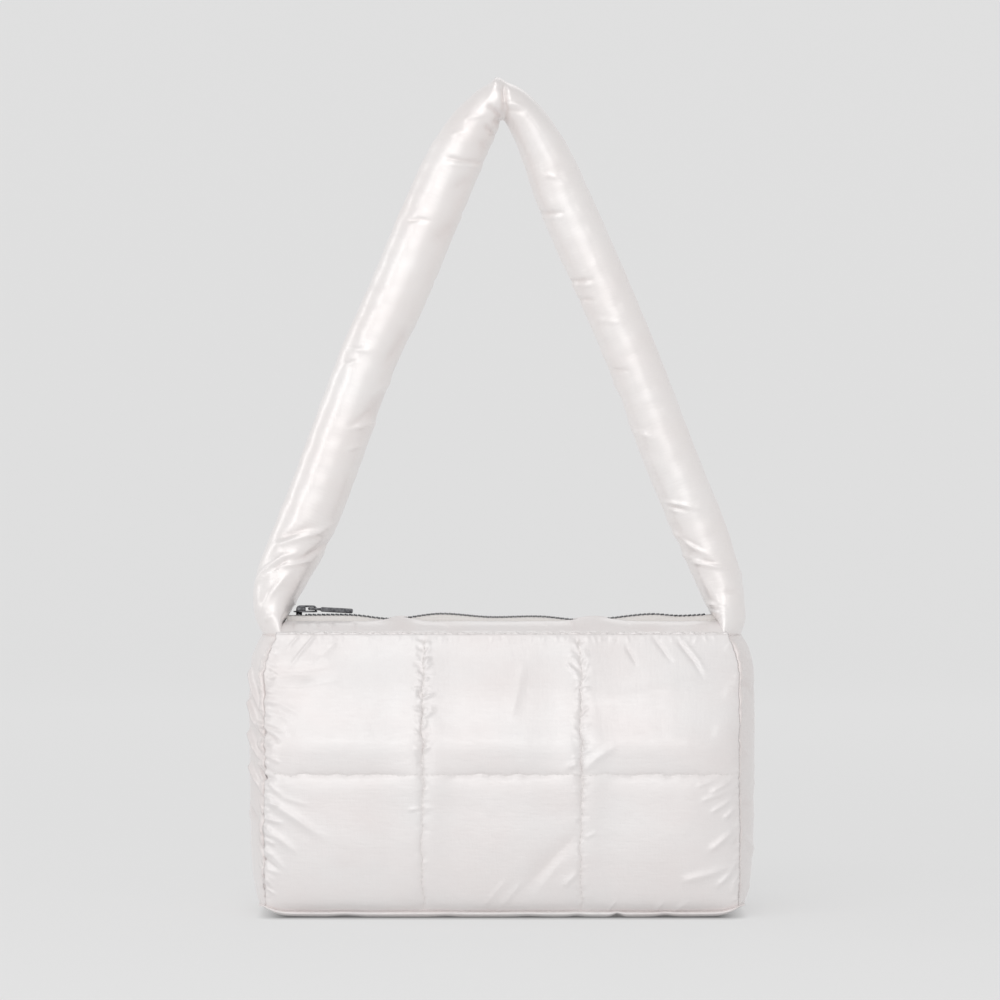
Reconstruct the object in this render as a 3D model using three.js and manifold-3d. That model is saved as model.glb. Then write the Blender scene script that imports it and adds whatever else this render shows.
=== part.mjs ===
// A quilted shoulder bag in padded satin. Two panels quilted three cells wide and two high, two plain
// side gussets and a base stand as a box that narrows upwards. A turned band along each panel leads to
// a metal zip, and one stuffed strap runs from gusset to gusset, folded to a peak where it hangs.
// Millimetres, +Z up, the front faces -Y. The origin is inside the bend of the strap, where it hangs.

import * as THREE from 'three';
import { mergeVertices } from 'three/addons/utils/BufferGeometryUtils.js';
import Module from 'manifold-3d';

const wasm = await Module();
wasm.setup();

// Heights are from the resting face of the base.
const hangHeight = 433.5; // inside of the strap's bend
const gap = 0.3; // between neighbouring pieces
const mitreShift = 0.12; // each piece stands this far off the corner seam in X and in Y
const wall = 2.5; // fabric and wadding where it is sewn through

const panelBottom = 4.8;
const quiltSeam = 77.5; // the seam between the two rows of cells
const panelTop = 152; // the topstitching
const quiltColumns = 3;
const cellCrown = 10; // a cell's middle stands this far off its seams
const cellPower = 2.8; // higher is flatter in the middle and steeper at the seams
const frontSteps = 14; // facets across a cell of the front panel
const backSteps = 8;

// The seam edge of the front and back panels: distance from the middle plane, and half the width.
const panelProfile = [
  { z: 4.8, depth: 46, half: 127.5 },
  { z: 40, depth: 47.5, half: 128 },
  { z: 78, depth: 46, half: 128 },
  { z: 115, depth: 40, half: 127.6 },
  { z: 136, depth: 33.5, half: 126 },
  { z: 147, depth: 29, half: 123.4 },
  { z: 152, depth: 26.5, half: 122.4 },
  { z: 157, depth: 24, half: 120.8 },
];

// Folds of the front panel: where each starts, its bearing from +X, length, spread, and its rise.
const panelFolds = [
  { x: -125.8, z: 126.1, bearing: 8, length: 36, spread: 8, rise: -2 },
  { x: -101.6, z: 151.4, bearing: 230, length: 22, spread: 3.5, rise: 1.2 },
  { x: -125.8, z: 63.8, bearing: -34, length: 39, spread: 4.5, rise: 1.8 },
  { x: -128.5, z: 47.6, bearing: -37, length: 22, spread: 4, rise: 1.5 },
  { x: -125.8, z: 36.9, bearing: -38, length: 22, spread: 4, rise: 1.3 },
  { x: -125.8, z: 71.8, bearing: -25, length: 25, spread: 3.5, rise: 1.3 },
  { x: 98.9, z: 147.1, bearing: -64, length: 21, spread: 3.5, rise: -1.2 },
  { x: 125.2, z: 46.6, bearing: 213, length: 13, spread: 3.5, rise: 1.5 },
  { x: 125.8, z: 31.5, bearing: 203, length: 21, spread: 4, rise: 1.5 },
  { x: 39.2, z: 44.9, bearing: 225, length: 53, spread: 6, rise: -1.2 },
];

// How far a gusset's middle stands out past its seams, from the base up.
const gussetProfile = [
  { z: 4.8, bulge: 5.5 },
  { z: 16, bulge: 8.5 },
  { z: 40, bulge: 10.5 },
  { z: 90, bulge: 12 },
  { z: 118, bulge: 10.8 },
  { z: 137, bulge: 10.4 },
  { z: 152, bulge: 11.6 },
];
const gussetPower = 2.4;
const gussetTop = 151.2;
const gussetColumns = 12;
const gussetRows = 18;

// Creases across each gusset: height at its middle, fall from there to the front seam, spread, rise.
const leftCreases = [
  { z: 122, fall: 18, spread: 4.5, rise: 1.6 },
  { z: 108, fall: 20, spread: 4.5, rise: 1.8 },
  { z: 88, fall: 14, spread: 4, rise: 1.4 },
  { z: 54, fall: 6, spread: 4, rise: -1.4 },
];
const rightCreases = [
  { z: 124, fall: 10, spread: 5, rise: -1.2 },
  { z: 60, fall: 4, spread: 4, rise: -1.8 },
  { z: 34, fall: 8, spread: 5, rise: 1.2 },
];

const baseHalfLength = 132;
const baseHalfDepth = 48;
const baseCorner = 8;
const baseThick = 4.5;
const cornerReach = 12; // the bag's bottom corners start to turn up this far from the gusset seam
const cornerRise = 3;
const baseStops = [0.975, 0.95, 0.925, -0.925, -0.95, -0.975]; // along a long edge, where its ends turn up

// Rounded edge of the base: how far in from the outline each ring lies, and its height.
const baseEdge = [
  { inset: 20, z: 0 },
  { inset: 6, z: 0 },
  { inset: 1.6, z: 0.5 },
  { inset: 0.2, z: 1.8 },
  { inset: 0.3, z: 3.4 },
  { inset: 1.8, z: baseThick },
  { inset: 20, z: baseThick },
];

// Band from the topstitching to the zip, and the two places where its edge swells over the teeth.
const bandEdgeDepth = 8.5;
const bandEdgeHeight = 158.7;
const bandEdgeHalf = 118.6;
const bandThick = 2.4;
const bandPuff = 1.4;
const bandSwells = [
  { x: -56, rise: 2.4, spread: 9 },
  { x: 51, rise: 2.4, spread: 12 },
];

// The line of the zip: it waves between the panels.
const zipLine = [
  { x: -122, z: 161.8 },
  { x: -106, z: 161.8 },
  { x: -82, z: 161.7 },
  { x: -60, z: 159.6 },
  { x: -34, z: 162.4 },
  { x: -7, z: 160.6 },
  { x: 21, z: 160.9 },
  { x: 46, z: 158.9 },
  { x: 81, z: 162.2 },
  { x: 98, z: 161.3 },
  { x: 120, z: 162.6 },
];
const tapeHalfLength = 113.8;
const tapeThick = 0.8;
const tapeSteps = 34;
const toothPitch = 2.5;
const toothHalfHeight = 1.1;
const toothTip = 2.5; // half width over a tooth
const toothRoot = 1.9;
const teethStart = -108.4;
const teethEnd = 113;

const sliderFront = -114.6;
const sliderLength = 13;
const sliderHalfWidth = 4;
const sliderPlate = 0.9;
const sliderClear = 0.35; // plates to teeth
const bridgeClear = 2.2; // under the bridge
const bridgeThick = 0.8;
const bridgeWidth = 2.4;
const bridgeInset = 2; // from the slider's front end
const bridgeLength = 10.4;

const pullPivotX = -106;
const pullLength = 24;
const pullHalfWidth = 2.8;
const pullEyeLength = 6.4;
const pullBar = 1.3; // bar under the bridge, square
const pullThick = 2.2;
const pullDroop = 1.5; // degrees below level, where the tab rests on the teeth

// Sections of the strap: centre, lean of its inner side below level, half thickness in the plane of the
// loop, and half depth along Y. It is pressed flat at both roots and kinked at the peak.
const strapSections = [
  { x: -129.4, z: 151.5, lean: 0, half: 4.6, depth: 24 },
  { x: -128.2, z: 158.5, lean: 8, half: 8, depth: 22.5 },
  { x: -126, z: 168.5, lean: 12, half: 11.8, depth: 19.5 },
  { x: -120.5, z: 184, lean: 19, half: 14.8, depth: 17.4 },
  { x: -112, z: 202, lean: 22, half: 16.3, depth: 16.8 },
  { x: -101, z: 228, lean: 21, half: 16.9, depth: 16.8 },
  { x: -86, z: 269, lean: 20.5, half: 16.8, depth: 16.8 },
  { x: -72.6, z: 305, lean: 22, half: 16.6, depth: 16.8 },
  { x: -57.5, z: 338, lean: 23, half: 17.1, depth: 16.8 },
  { x: -40, z: 380, lean: 23, half: 16.9, depth: 17 },
  { x: -24.5, z: 415, lean: 26, half: 15.8, depth: 17.4 },
  { x: -10, z: 437.6, lean: 52, half: 13.2, depth: 18 },
  { x: 0, z: 445.6, lean: 90, half: 12.1, depth: 18 },
  { x: 11, z: 437.2, lean: 128, half: 11.6, depth: 17.4 },
  { x: 22.5, z: 418, lean: 154, half: 13.2, depth: 16.6 },
  { x: 34, z: 390, lean: 156, half: 15.2, depth: 16 },
  { x: 58, z: 335.5, lean: 157, half: 15.3, depth: 15.8 },
  { x: 76, z: 292, lean: 159, half: 15.2, depth: 15.8 },
  { x: 93, z: 247, lean: 158, half: 15.1, depth: 15.8 },
  { x: 110, z: 206, lean: 161, half: 14.6, depth: 16.4 },
  { x: 119.5, z: 180, lean: 165, half: 12.8, depth: 18 },
  { x: 124, z: 165.5, lean: 168, half: 10.2, depth: 20.5 },
  { x: 127.4, z: 157, lean: 174, half: 7, depth: 23 },
  { x: 128.9, z: 151.5, lean: 180, half: 4.6, depth: 24 },
];
const strapSides = 14;
const strapStepsPerSection = 3;

// Creases on the strap's inner side, by height on each leg.
const strapCreases = [
  { leg: -1, z: 338, spread: 6, rise: -1.4 },
  { leg: -1, z: 264, spread: 7, rise: -1 },
  { leg: -1, z: 206, spread: 5, rise: -1.3 },
  { leg: -1, z: 416, spread: 5, rise: -1.2 },
  { leg: 1, z: 384, spread: 5, rise: -1.3 },
  { leg: 1, z: 346, spread: 5, rise: -1.4 },
  { leg: 1, z: 222, spread: 5, rise: -1.2 },
  { leg: 1, z: 188, spread: 5, rise: -1.4 },
];

const satin = { color: 0xebe6e4, roughness: 0.38, metalness: 0 };
const weave = { color: 0xefe9e0, roughness: 0.85, metalness: 0 };
const nickel = { color: 0x8d8d90, roughness: 0.25, metalness: 1 };

// Catmull-Rom interpolation of one column of a table along another.
function along(rows, key, at, value) {
  const last = rows.length - 1;
  const found = rows.findIndex((row) => row[key] > at);
  const i = THREE.MathUtils.clamp((found < 0 ? rows.length : found) - 1, 0, last - 1);
  const t = THREE.MathUtils.clamp((at - rows[i][key]) / (rows[i + 1][key] - rows[i][key]), 0, 1);
  const slope = (k) => {
    const low = rows[Math.max(k - 1, 0)];
    const high = rows[Math.min(k + 1, last)];
    return (high[value] - low[value]) / (high[key] - low[key]);
  };
  const span = rows[i + 1][key] - rows[i][key];
  const start = rows[i][value] * (2 * t ** 3 - 3 * t ** 2 + 1) + rows[i + 1][value] * (3 * t ** 2 - 2 * t ** 3);
  const turn = slope(i) * (t ** 3 - 2 * t ** 2 + t) + slope(i + 1) * (t ** 3 - t ** 2);
  return start + turn * span;
}

const bell = (distance, spread) => Math.exp(-((distance / spread) ** 2));
const panelDepth = (z) => along(panelProfile, 'z', z, 'depth');
const panelHalf = (z) => along(panelProfile, 'z', z, 'half');
const zipHeight = (x) => along(zipLine, 'x', x, 'z');

// The bottom corners turn up over the last stretch towards each gusset.
function cornerLift(x) {
  const start = panelProfile[0].half - cornerReach;
  const t = THREE.MathUtils.clamp((Math.abs(x) - start) / cornerReach, 0, 1);
  return cornerRise * t ** 2;
}

// Stops from 0 to 1 that crowd towards both ends, where a cell is steepest.
function crowdedStops(count) {
  return Array.from({ length: count + 1 }, (_, i) => (1 - Math.cos((Math.PI * i) / count)) / 2);
}

// Stops over several cells in a row, each seam shared by the cells on both sides.
function cellStops(seams, stepsEach) {
  const stops = [seams[0]];
  for (let k = 0; k + 1 < seams.length; k += 1) {
    const inner = crowdedStops(stepsEach).slice(1);
    stops.push(...inner.map((t) => THREE.MathUtils.lerp(seams[k], seams[k + 1], t)));
  }
  return stops;
}

function geometryFrom(points, faces) {
  const geometry = new THREE.BufferGeometry();
  geometry.setAttribute('position', new THREE.Float32BufferAttribute(points.flat(), 3));
  geometry.setIndex(faces.flat());
  geometry.computeVertexNormals();
  return geometry;
}

// A sheet with an outer and an inner face, closed round its rim. outerAt and innerAt give [x, y, z] at a
// pair of stops, and the outer face looks along (across x up). The inner face is straight from side to
// side, so only its rim and one chord per row are kept.
function closedSheet(acrossStops, upStops, outerAt, innerAt) {
  const points = [];
  const add = (point) => points.push(point) - 1;
  const outer = upStops.map((v) => acrossStops.map((u) => add(outerAt(u, v))));
  const lastRow = upStops.length - 1;
  const lastColumn = acrossStops.length - 1;
  const inner = upStops.map((v, j) => acrossStops.map((u, i) => {
    const onRim = i === 0 || j === 0 || i === lastColumn || j === lastRow;
    return onRim ? add(innerAt(u, v)) : null;
  }));
  const faces = [];
  for (let j = 0; j < lastRow; j += 1) {
    for (let i = 0; i < lastColumn; i += 1) {
      const [a, b, c, d] = [outer[j][i], outer[j][i + 1], outer[j + 1][i + 1], outer[j + 1][i]];
      faces.push([a, b, c], [a, c, d]);
    }
  }
  for (let j = 1; j + 1 < lastRow; j += 1) {
    const [a, b, c, d] = [inner[j][0], inner[j][lastColumn], inner[j + 1][lastColumn], inner[j + 1][0]];
    faces.push([a, c, b], [a, d, c]);
  }
  const middle = Math.round(lastColumn / 2);
  for (const [edge, next, flip] of [[0, 1, false], [lastRow, lastRow - 1, true]]) {
    const [left, right] = [inner[next][0], inner[next][lastColumn]];
    for (let i = 0; i < lastColumn; i += 1) {
      const apex = i < middle ? left : right;
      const face = [inner[edge][i + 1], inner[edge][i], apex];
      faces.push(flip ? face.reverse() : face);
    }
    const face = [inner[edge][middle], left, right];
    faces.push(flip ? face.reverse() : face);
  }
  const rim = [];
  for (let i = 0; i < lastColumn; i += 1) rim.push([0, i]);
  for (let j = 0; j < lastRow; j += 1) rim.push([j, lastColumn]);
  for (let i = lastColumn; i > 0; i -= 1) rim.push([lastRow, i]);
  for (let j = lastRow; j > 0; j -= 1) rim.push([j, 0]);
  rim.forEach(([j, i], k) => {
    const [nj, ni] = rim[(k + 1) % rim.length];
    faces.push([outer[nj][ni], outer[j][i], inner[j][i]]);
    faces.push([outer[nj][ni], inner[j][i], inner[nj][ni]]);
  });
  return geometryFrom(points, faces);
}

// A solid skinned over closed rings of equal length, with a point in the middle of each end.
function ringSolid(rings, firstMiddle, lastMiddle) {
  const sides = rings[0].length;
  const points = rings.flat();
  const faces = [];
  for (let r = 0; r + 1 < rings.length; r += 1) {
    for (let k = 0; k < sides; k += 1) {
      const next = (k + 1) % sides;
      const [a, b] = [r * sides + k, r * sides + next];
      const [c, d] = [a + sides, b + sides];
      faces.push([a, b, d], [a, d, c]);
    }
  }
  const start = points.push(firstMiddle) - 1;
  const end = points.push(lastMiddle) - 1;
  const lastRing = (rings.length - 1) * sides;
  for (let k = 0; k < sides; k += 1) {
    const next = (k + 1) % sides;
    faces.push([start, next, k], [end, lastRing + k, lastRing + next]);
  }
  return geometryFrom(points, faces);
}

function middleOf(ring) {
  return [0, 1, 2].map((axis) => ring.reduce((sum, point) => sum + point[axis], 0) / ring.length);
}

// How far a quilted cell stands off its seams at an offset from -1 to 1 each way.
const crown = (s, t) => (1 - Math.abs(s) ** cellPower) * (1 - Math.abs(t) ** cellPower);

// A fold rises along its line, and fades at its far end and to both sides.
function foldRise(folds, x, z) {
  return folds.reduce((sum, fold) => {
    const angle = THREE.MathUtils.degToRad(fold.bearing);
    const [dx, dz] = [x - fold.x, z - fold.z];
    const forward = dx * Math.cos(angle) + dz * Math.sin(angle);
    const aside = dz * Math.cos(angle) - dx * Math.sin(angle);
    const fade = bell(forward / fold.length - 0.4, 0.5);
    return sum + fold.rise * fade * bell(aside, fold.spread);
  }, 0);
}

// A quilted panel: its seams lie on the profile, and each cell swells forward between them.
function panelGeometry(stepsEach, folds) {
  const columnSeams = Array.from({ length: quiltColumns + 1 }, (_, k) => (2 * k) / quiltColumns - 1);
  const rowSeams = [panelBottom, quiltSeam, panelTop];
  const cellOffset = (seams, at) => {
    const k = THREE.MathUtils.clamp(seams.findIndex((seam) => seam > at + 1e-9) - 1, 0, seams.length - 2);
    const found = at >= seams[seams.length - 1] - 1e-9 ? seams.length - 2 : k;
    return (2 * (at - seams[found])) / (seams[found + 1] - seams[found]) - 1;
  };
  const lifted = (x, z) => z + cornerLift(x) * (1 - (z - panelBottom) / (panelTop - panelBottom)) ** 4;
  const outerAt = (u, z) => {
    const x = u * (panelHalf(z) - mitreShift);
    const swell = crown(cellOffset(columnSeams, u), cellOffset(rowSeams, z));
    const fold = foldRise(folds, x, z) * Math.min(1, 3 * swell);
    return [x, -(panelDepth(z) + mitreShift + cellCrown * swell + fold), lifted(x, z)];
  };
  const innerAt = (u, z) => {
    const x = u * (panelHalf(z) - wall - mitreShift);
    return [x, -(panelDepth(z) - wall + mitreShift), lifted(u * panelHalf(z), z)];
  };
  return closedSheet(cellStops(columnSeams, stepsEach), cellStops(rowSeams, stepsEach - 1), outerAt, innerAt);
}

// The gusset on the +X side: it swells outwards between the seams of the two panels.
function gussetGeometry(creases, frontSign) {
  const bottom = panelBottom + cornerRise;
  const rows = crowdedStops(gussetRows).map((t) => THREE.MathUtils.lerp(bottom, gussetTop, t));
  const columns = crowdedStops(gussetColumns).map((t) => 2 * t - 1);
  const outerAt = (u, z) => {
    const swell = 1 - Math.abs(u) ** gussetPower;
    const crease = creases.reduce((sum, row) => {
      const line = row.z - row.fall * u * frontSign;
      return sum + row.rise * bell(z - line, row.spread);
    }, 0);
    const out = (along(gussetProfile, 'z', z, 'bulge') + crease) * swell;
    return [panelHalf(z) + mitreShift + out, u * (panelDepth(z) - mitreShift), z];
  };
  const innerAt = (u, z) => [
    panelHalf(z) - wall + mitreShift,
    u * (panelDepth(z) - wall - mitreShift),
    z,
  ];
  return closedSheet(columns, rows, outerAt, innerAt);
}

// The base: a rounded rectangle with a soft edge, flat underneath, its ends turned up at the corners.
function baseGeometry() {
  const rounded = (inset) => {
    const radius = Math.max(baseCorner - inset / 2, 1);
    const [straightX, straightY] = [baseHalfLength - inset - radius, baseHalfDepth - inset - radius];
    const outline = new THREE.Shape();
    for (const side of [1, -1]) {
      const turn = side > 0 ? 0 : Math.PI;
      outline.absarc(side * straightX, side * straightY, radius, turn, turn + Math.PI / 2);
      for (const stop of baseStops) {
        outline.lineTo(side * stop * straightX, side * (straightY + radius));
      }
      outline.absarc(-side * straightX, side * straightY, radius, turn + Math.PI / 2, turn + Math.PI);
    }
    const points = outline.getPoints(4);
    return points.filter((point, i) => point.distanceTo(points[(i + 1) % points.length]) > 1e-6);
  };
  const rings = baseEdge.map(({ inset, z }) => rounded(inset)
    .map((point) => [point.x, point.y, z + cornerLift(point.x)]));
  return ringSolid(rings, [0, 0, 0], [0, 0, baseThick]);
}

// The front band, from the topstitching up to its turned edge at the zip.
function bandGeometry() {
  const columns = Array.from({ length: 41 }, (_, i) => i / 20 - 1);
  const rows = [0, 0.25, 0.5, 0.75, 1];
  const start = { depth: panelDepth(panelTop), half: panelHalf(panelTop), z: panelTop + gap };
  const place = (u, v, sink) => {
    const x = u * THREE.MathUtils.lerp(start.half, bandEdgeHalf, v);
    const swell = bandSwells.reduce((sum, row) => sum + row.rise * bell(x - row.x, row.spread), 0);
    const depth = THREE.MathUtils.lerp(start.depth - sink * wall, bandEdgeDepth, v);
    const drop = sink * bandThick * Math.min(1, 4 * v);
    const rise = v * (bandEdgeHeight - start.z) + bandPuff * Math.sin(Math.PI * v) + swell * v ** 2;
    return [x, -depth, start.z + rise - drop];
  };
  return closedSheet(columns, rows, (u, v) => place(u, v, 0), (u, v) => place(u, v, 1));
}

// The front tape, from the band's edge up to the teeth.
function tapeGeometry() {
  const rings = Array.from({ length: tapeSteps + 1 }, (_, i) => {
    const x = THREE.MathUtils.lerp(-tapeHalfLength, tapeHalfLength, i / tapeSteps);
    const top = zipHeight(x) + tapeThick / 2;
    const line = [
      { y: -bandEdgeDepth + gap, z: bandEdgeHeight - bandThick / 2 },
      { y: -toothTip - 2.7, z: top - 0.4 },
      { y: -toothTip - gap, z: top },
    ];
    const upper = line.map(({ y, z }) => [x, y, z]);
    const lower = line.map(({ y, z }) => [x, y, z - tapeThick]).reverse();
    return [...upper, ...lower].reverse();
  });
  return ringSolid(rings, middleOf(rings[0]), middleOf(rings[tapeSteps]));
}

// The closed chain: its two edges step out in turn, a tooth on one side opposite a gap on the other.
function teethGeometry() {
  const steps = Math.round((2 * (teethEnd - teethStart)) / toothPitch);
  const rings = Array.from({ length: steps + 1 }, (_, i) => {
    const x = THREE.MathUtils.lerp(teethStart, teethEnd, i / steps);
    const z = zipHeight(x);
    const [front, back] = i % 2 ? [toothTip, toothRoot] : [toothRoot, toothTip];
    return [
      [x, -front, z - toothHalfHeight],
      [x, back, z - toothHalfHeight],
      [x, back, z + toothHalfHeight],
      [x, -front, z + toothHalfHeight],
    ];
  });
  return ringSolid(rings, middleOf(rings[0]), middleOf(rings[steps]));
}

function solidOf(geometry) {
  const bare = geometry.clone();
  bare.deleteAttribute('normal');
  bare.deleteAttribute('uv');
  const merged = mergeVertices(bare, 1e-4);
  return new wasm.Manifold(new wasm.Mesh({
    numProp: 3,
    vertProperties: new Float32Array(merged.attributes.position.array),
    triVerts: new Uint32Array(merged.index.array),
  }));
}

function joined(geometries) {
  const whole = geometries.map(solidOf).reduce((sum, solid) => sum.add(solid));
  const made = whole.getMesh();
  const geometry = new THREE.BufferGeometry();
  geometry.setAttribute('position', new THREE.BufferAttribute(made.vertProperties, 3));
  geometry.setIndex(new THREE.BufferAttribute(made.triVerts, 1));
  geometry.computeVertexNormals();
  return geometry;
}

// A rounded rectangle between two X values, as a shape in XY.
function slabShape(x0, x1, halfWidth, radius) {
  const shape = new THREE.Shape();
  shape.moveTo(x0 + radius, -halfWidth);
  shape.lineTo(x1 - radius, -halfWidth);
  shape.absarc(x1 - radius, -halfWidth + radius, radius, -Math.PI / 2, 0);
  shape.absarc(x1 - radius, halfWidth - radius, radius, 0, Math.PI / 2);
  shape.lineTo(x0 + radius, halfWidth);
  shape.absarc(x0 + radius, halfWidth - radius, radius, Math.PI / 2, Math.PI);
  shape.absarc(x0 + radius, -halfWidth + radius, radius, Math.PI, 1.5 * Math.PI);
  return shape;
}

const extrude = (shape, depth) => new THREE.ExtrudeGeometry(shape, { depth, bevelEnabled: false, curveSegments: 4 });

// The slider: two plates joined by a post ahead of the teeth, with a bridge on top for the pull.
function sliderGeometry() {
  const chain = zipHeight(pullPivotX);
  const plateAt = toothHalfHeight + sliderClear;
  const back = sliderFront + sliderLength;
  const plate = slabShape(sliderFront, back, sliderHalfWidth, 1.5);
  const upper = extrude(plate, sliderPlate).translate(0, 0, chain + plateAt);
  const lower = extrude(plate, sliderPlate).translate(0, 0, chain - plateAt - sliderPlate);
  const post = new THREE.CylinderGeometry(1.7, 1.7, 2 * plateAt + sliderPlate, 12);
  post.rotateX(Math.PI / 2).translate(sliderFront + 3, 0, chain);
  const arch = new THREE.Shape();
  const top = bridgeClear + bridgeThick;
  arch.moveTo(0, -0.2);
  arch.lineTo(bridgeThick, -0.2);
  arch.lineTo(bridgeThick, bridgeClear);
  arch.lineTo(bridgeLength - bridgeThick, bridgeClear);
  arch.lineTo(bridgeLength - bridgeThick, -0.2);
  arch.lineTo(bridgeLength, -0.2);
  arch.lineTo(bridgeLength, top - 0.7);
  arch.lineTo(bridgeLength - 0.9, top);
  arch.lineTo(0.9, top);
  arch.lineTo(0, top - 0.7);
  const bridge = extrude(arch, bridgeWidth).rotateX(Math.PI / 2);
  bridge.translate(sliderFront + bridgeInset, bridgeWidth / 2, chain + plateAt + sliderPlate);
  return joined([upper, lower, post, bridge]);
}

// The pull, level and with its bar at the origin: an eye round the bridge, then a thicker tab.
function pullGeometry() {
  const eyeShape = slabShape(-pullBar / 2, pullEyeLength + 1, pullHalfWidth, pullBar / 2);
  const hole = slabShape(pullBar / 2, pullEyeLength, bridgeWidth / 2 + 0.4, 0.4);
  eyeShape.holes.push(new THREE.Path(hole.getPoints(4)));
  const eye = extrude(eyeShape, pullBar).translate(0, 0, -pullBar / 2);
  const tab = extrude(slabShape(pullEyeLength, pullLength, pullHalfWidth, 0.8), pullThick);
  tab.translate(0, 0, -pullThick / 2);
  return joined([eye, tab]);
}

// The strap: superellipse sections carried along the table, with creases on its inner side.
function strapGeometry() {
  const spans = strapSections.length - 1;
  const indexed = strapSections.map((row, index) => ({ ...row, index }));
  const columnAt = (name, at) => along(indexed, 'index', at, name);
  const rings = Array.from({ length: spans * strapStepsPerSection + 1 }, (_, i) => {
    const at = i / strapStepsPerSection;
    const [x, z, half, depth] = ['x', 'z', 'half', 'depth'].map((name) => columnAt(name, at));
    const lean = THREE.MathUtils.degToRad(columnAt('lean', at));
    const dent = strapCreases.reduce((sum, row) => {
      const near = row.leg * x > 0 ? bell(z - row.z, row.spread) : 0;
      return sum + row.rise * near;
    }, 0);
    return Array.from({ length: strapSides }, (__, k) => {
      const angle = (2 * Math.PI * k) / strapSides;
      const [inward, sideways] = [Math.cos(angle), Math.sin(angle)];
      const reach = half * inward + dent * Math.max(0, inward) ** 2;
      return [x + reach * Math.cos(lean), depth * sideways, z - reach * Math.sin(lean)];
    });
  });
  return ringSolid(rings, middleOf(rings[0]), middleOf(rings[rings.length - 1]));
}

const bag = new THREE.Group();
bag.position.z = -hangHeight;

function addPiece(name, geometry, look) {
  const piece = new THREE.Mesh(geometry, new THREE.MeshStandardMaterial(look));
  piece.name = name;
  bag.add(piece);
  return piece;
}

addPiece('front_panel', panelGeometry(frontSteps, panelFolds), satin);
addPiece('back_panel', panelGeometry(backSteps, []), satin).rotation.z = Math.PI;
addPiece('side_panel_right', gussetGeometry(rightCreases, -1), satin);
addPiece('side_panel_left', gussetGeometry(leftCreases, 1), satin).rotation.z = Math.PI;
addPiece('base_panel', baseGeometry(), satin);
addPiece('top_band_front', bandGeometry(), satin);
addPiece('top_band_back', bandGeometry(), satin).scale.y = -1;
addPiece('strap', strapGeometry(), satin);
addPiece('zip_tape_front', tapeGeometry(), weave);
addPiece('zip_tape_back', tapeGeometry(), weave).scale.y = -1;
addPiece('zip_teeth', teethGeometry(), nickel);
addPiece('zip_slider', sliderGeometry(), nickel);

const pull = addPiece('zip_pull', pullGeometry(), nickel);
const pullHeight = zipHeight(pullPivotX) + toothHalfHeight + sliderClear + sliderPlate + bridgeClear / 2;
pull.position.set(pullPivotX, 0, pullHeight);
pull.rotation.y = THREE.MathUtils.degToRad(pullDroop);

const part = new THREE.Group();
part.add(bag);

export default part;
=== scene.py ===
import bpy
import numpy as np
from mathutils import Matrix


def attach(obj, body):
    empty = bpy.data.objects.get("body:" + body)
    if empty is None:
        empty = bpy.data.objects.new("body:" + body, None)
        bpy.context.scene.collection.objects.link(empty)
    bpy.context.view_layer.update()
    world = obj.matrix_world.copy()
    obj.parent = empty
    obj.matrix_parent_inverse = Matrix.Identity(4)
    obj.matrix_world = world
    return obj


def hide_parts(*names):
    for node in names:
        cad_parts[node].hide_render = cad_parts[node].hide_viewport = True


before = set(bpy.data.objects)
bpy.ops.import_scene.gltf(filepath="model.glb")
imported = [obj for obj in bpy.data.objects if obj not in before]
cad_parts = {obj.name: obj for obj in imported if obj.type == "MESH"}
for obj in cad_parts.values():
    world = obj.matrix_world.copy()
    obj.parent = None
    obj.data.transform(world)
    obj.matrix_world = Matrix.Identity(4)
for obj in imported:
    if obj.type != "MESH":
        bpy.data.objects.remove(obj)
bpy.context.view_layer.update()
scene = bpy.context.scene

# lengths below are millimetres above the resting face of the base, front towards -Y
bag = {
    "hangHeight": 433.5,   # floor to the inside of the strap's bend
    "seamShift": 0.12,     # each padded piece stands this far off a corner seam
    "wall": 2.5,           # fabric and wadding where it is sewn through
    "cornerReach": 12.0,   # the bottom corners turn up over this stretch
    "cornerRise": 3.0,
    "innerStep": 4,        # the hidden inner faces keep every fourth row and column
    "innerPaintedShade": 0.3,    # and this much painted shade
}

view = {"distance": 2.2, "height": -0.2085, "aside": -0.0011, "lens": 144.0, "sensor": 36.0}
camera = bpy.data.objects.new("photoCamera", bpy.data.cameras.new("photoCamera"))
camera.data.lens = view["lens"]
camera.data.sensor_width = view["sensor"]
camera.location = (view["aside"], -view["distance"], view["height"])
camera.rotation_euler = (np.pi / 2, 0, 0)
scene.collection.objects.link(camera)
scene.camera = camera
print("camera placed")


# smooth curve through a table: cubic between rows, the slope at a row is the rise over run of its neighbours
def tableAt(rows, column, at):
    rows = np.asarray(rows, float)
    stop, value = rows[:, 0], rows[:, column]
    at = np.asarray(at, float)
    order = np.arange(len(stop))
    low, high = np.maximum(order - 1, 0), np.minimum(order + 1, len(stop) - 1)
    slope = (value[high] - value[low]) / (stop[high] - stop[low])
    i = np.clip(np.searchsorted(stop, at, side="right") - 1, 0, len(stop) - 2)
    span = stop[i + 1] - stop[i]
    t = np.clip((at - stop[i]) / span, 0, 1)
    level = value[i] * (2 * t**3 - 3 * t**2 + 1) + value[i + 1] * (3 * t**2 - 2 * t**3)
    return level + span * (slope[i] * (t**3 - 2 * t**2 + t) + slope[i + 1] * (t**3 - t**2))


# 0 below low, 1 above high, eased between
def easeStep(low, high, at):
    t = np.clip((at - low) / (high - low), 0, 1)
    return t * t * (3 - 2 * t)


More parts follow.
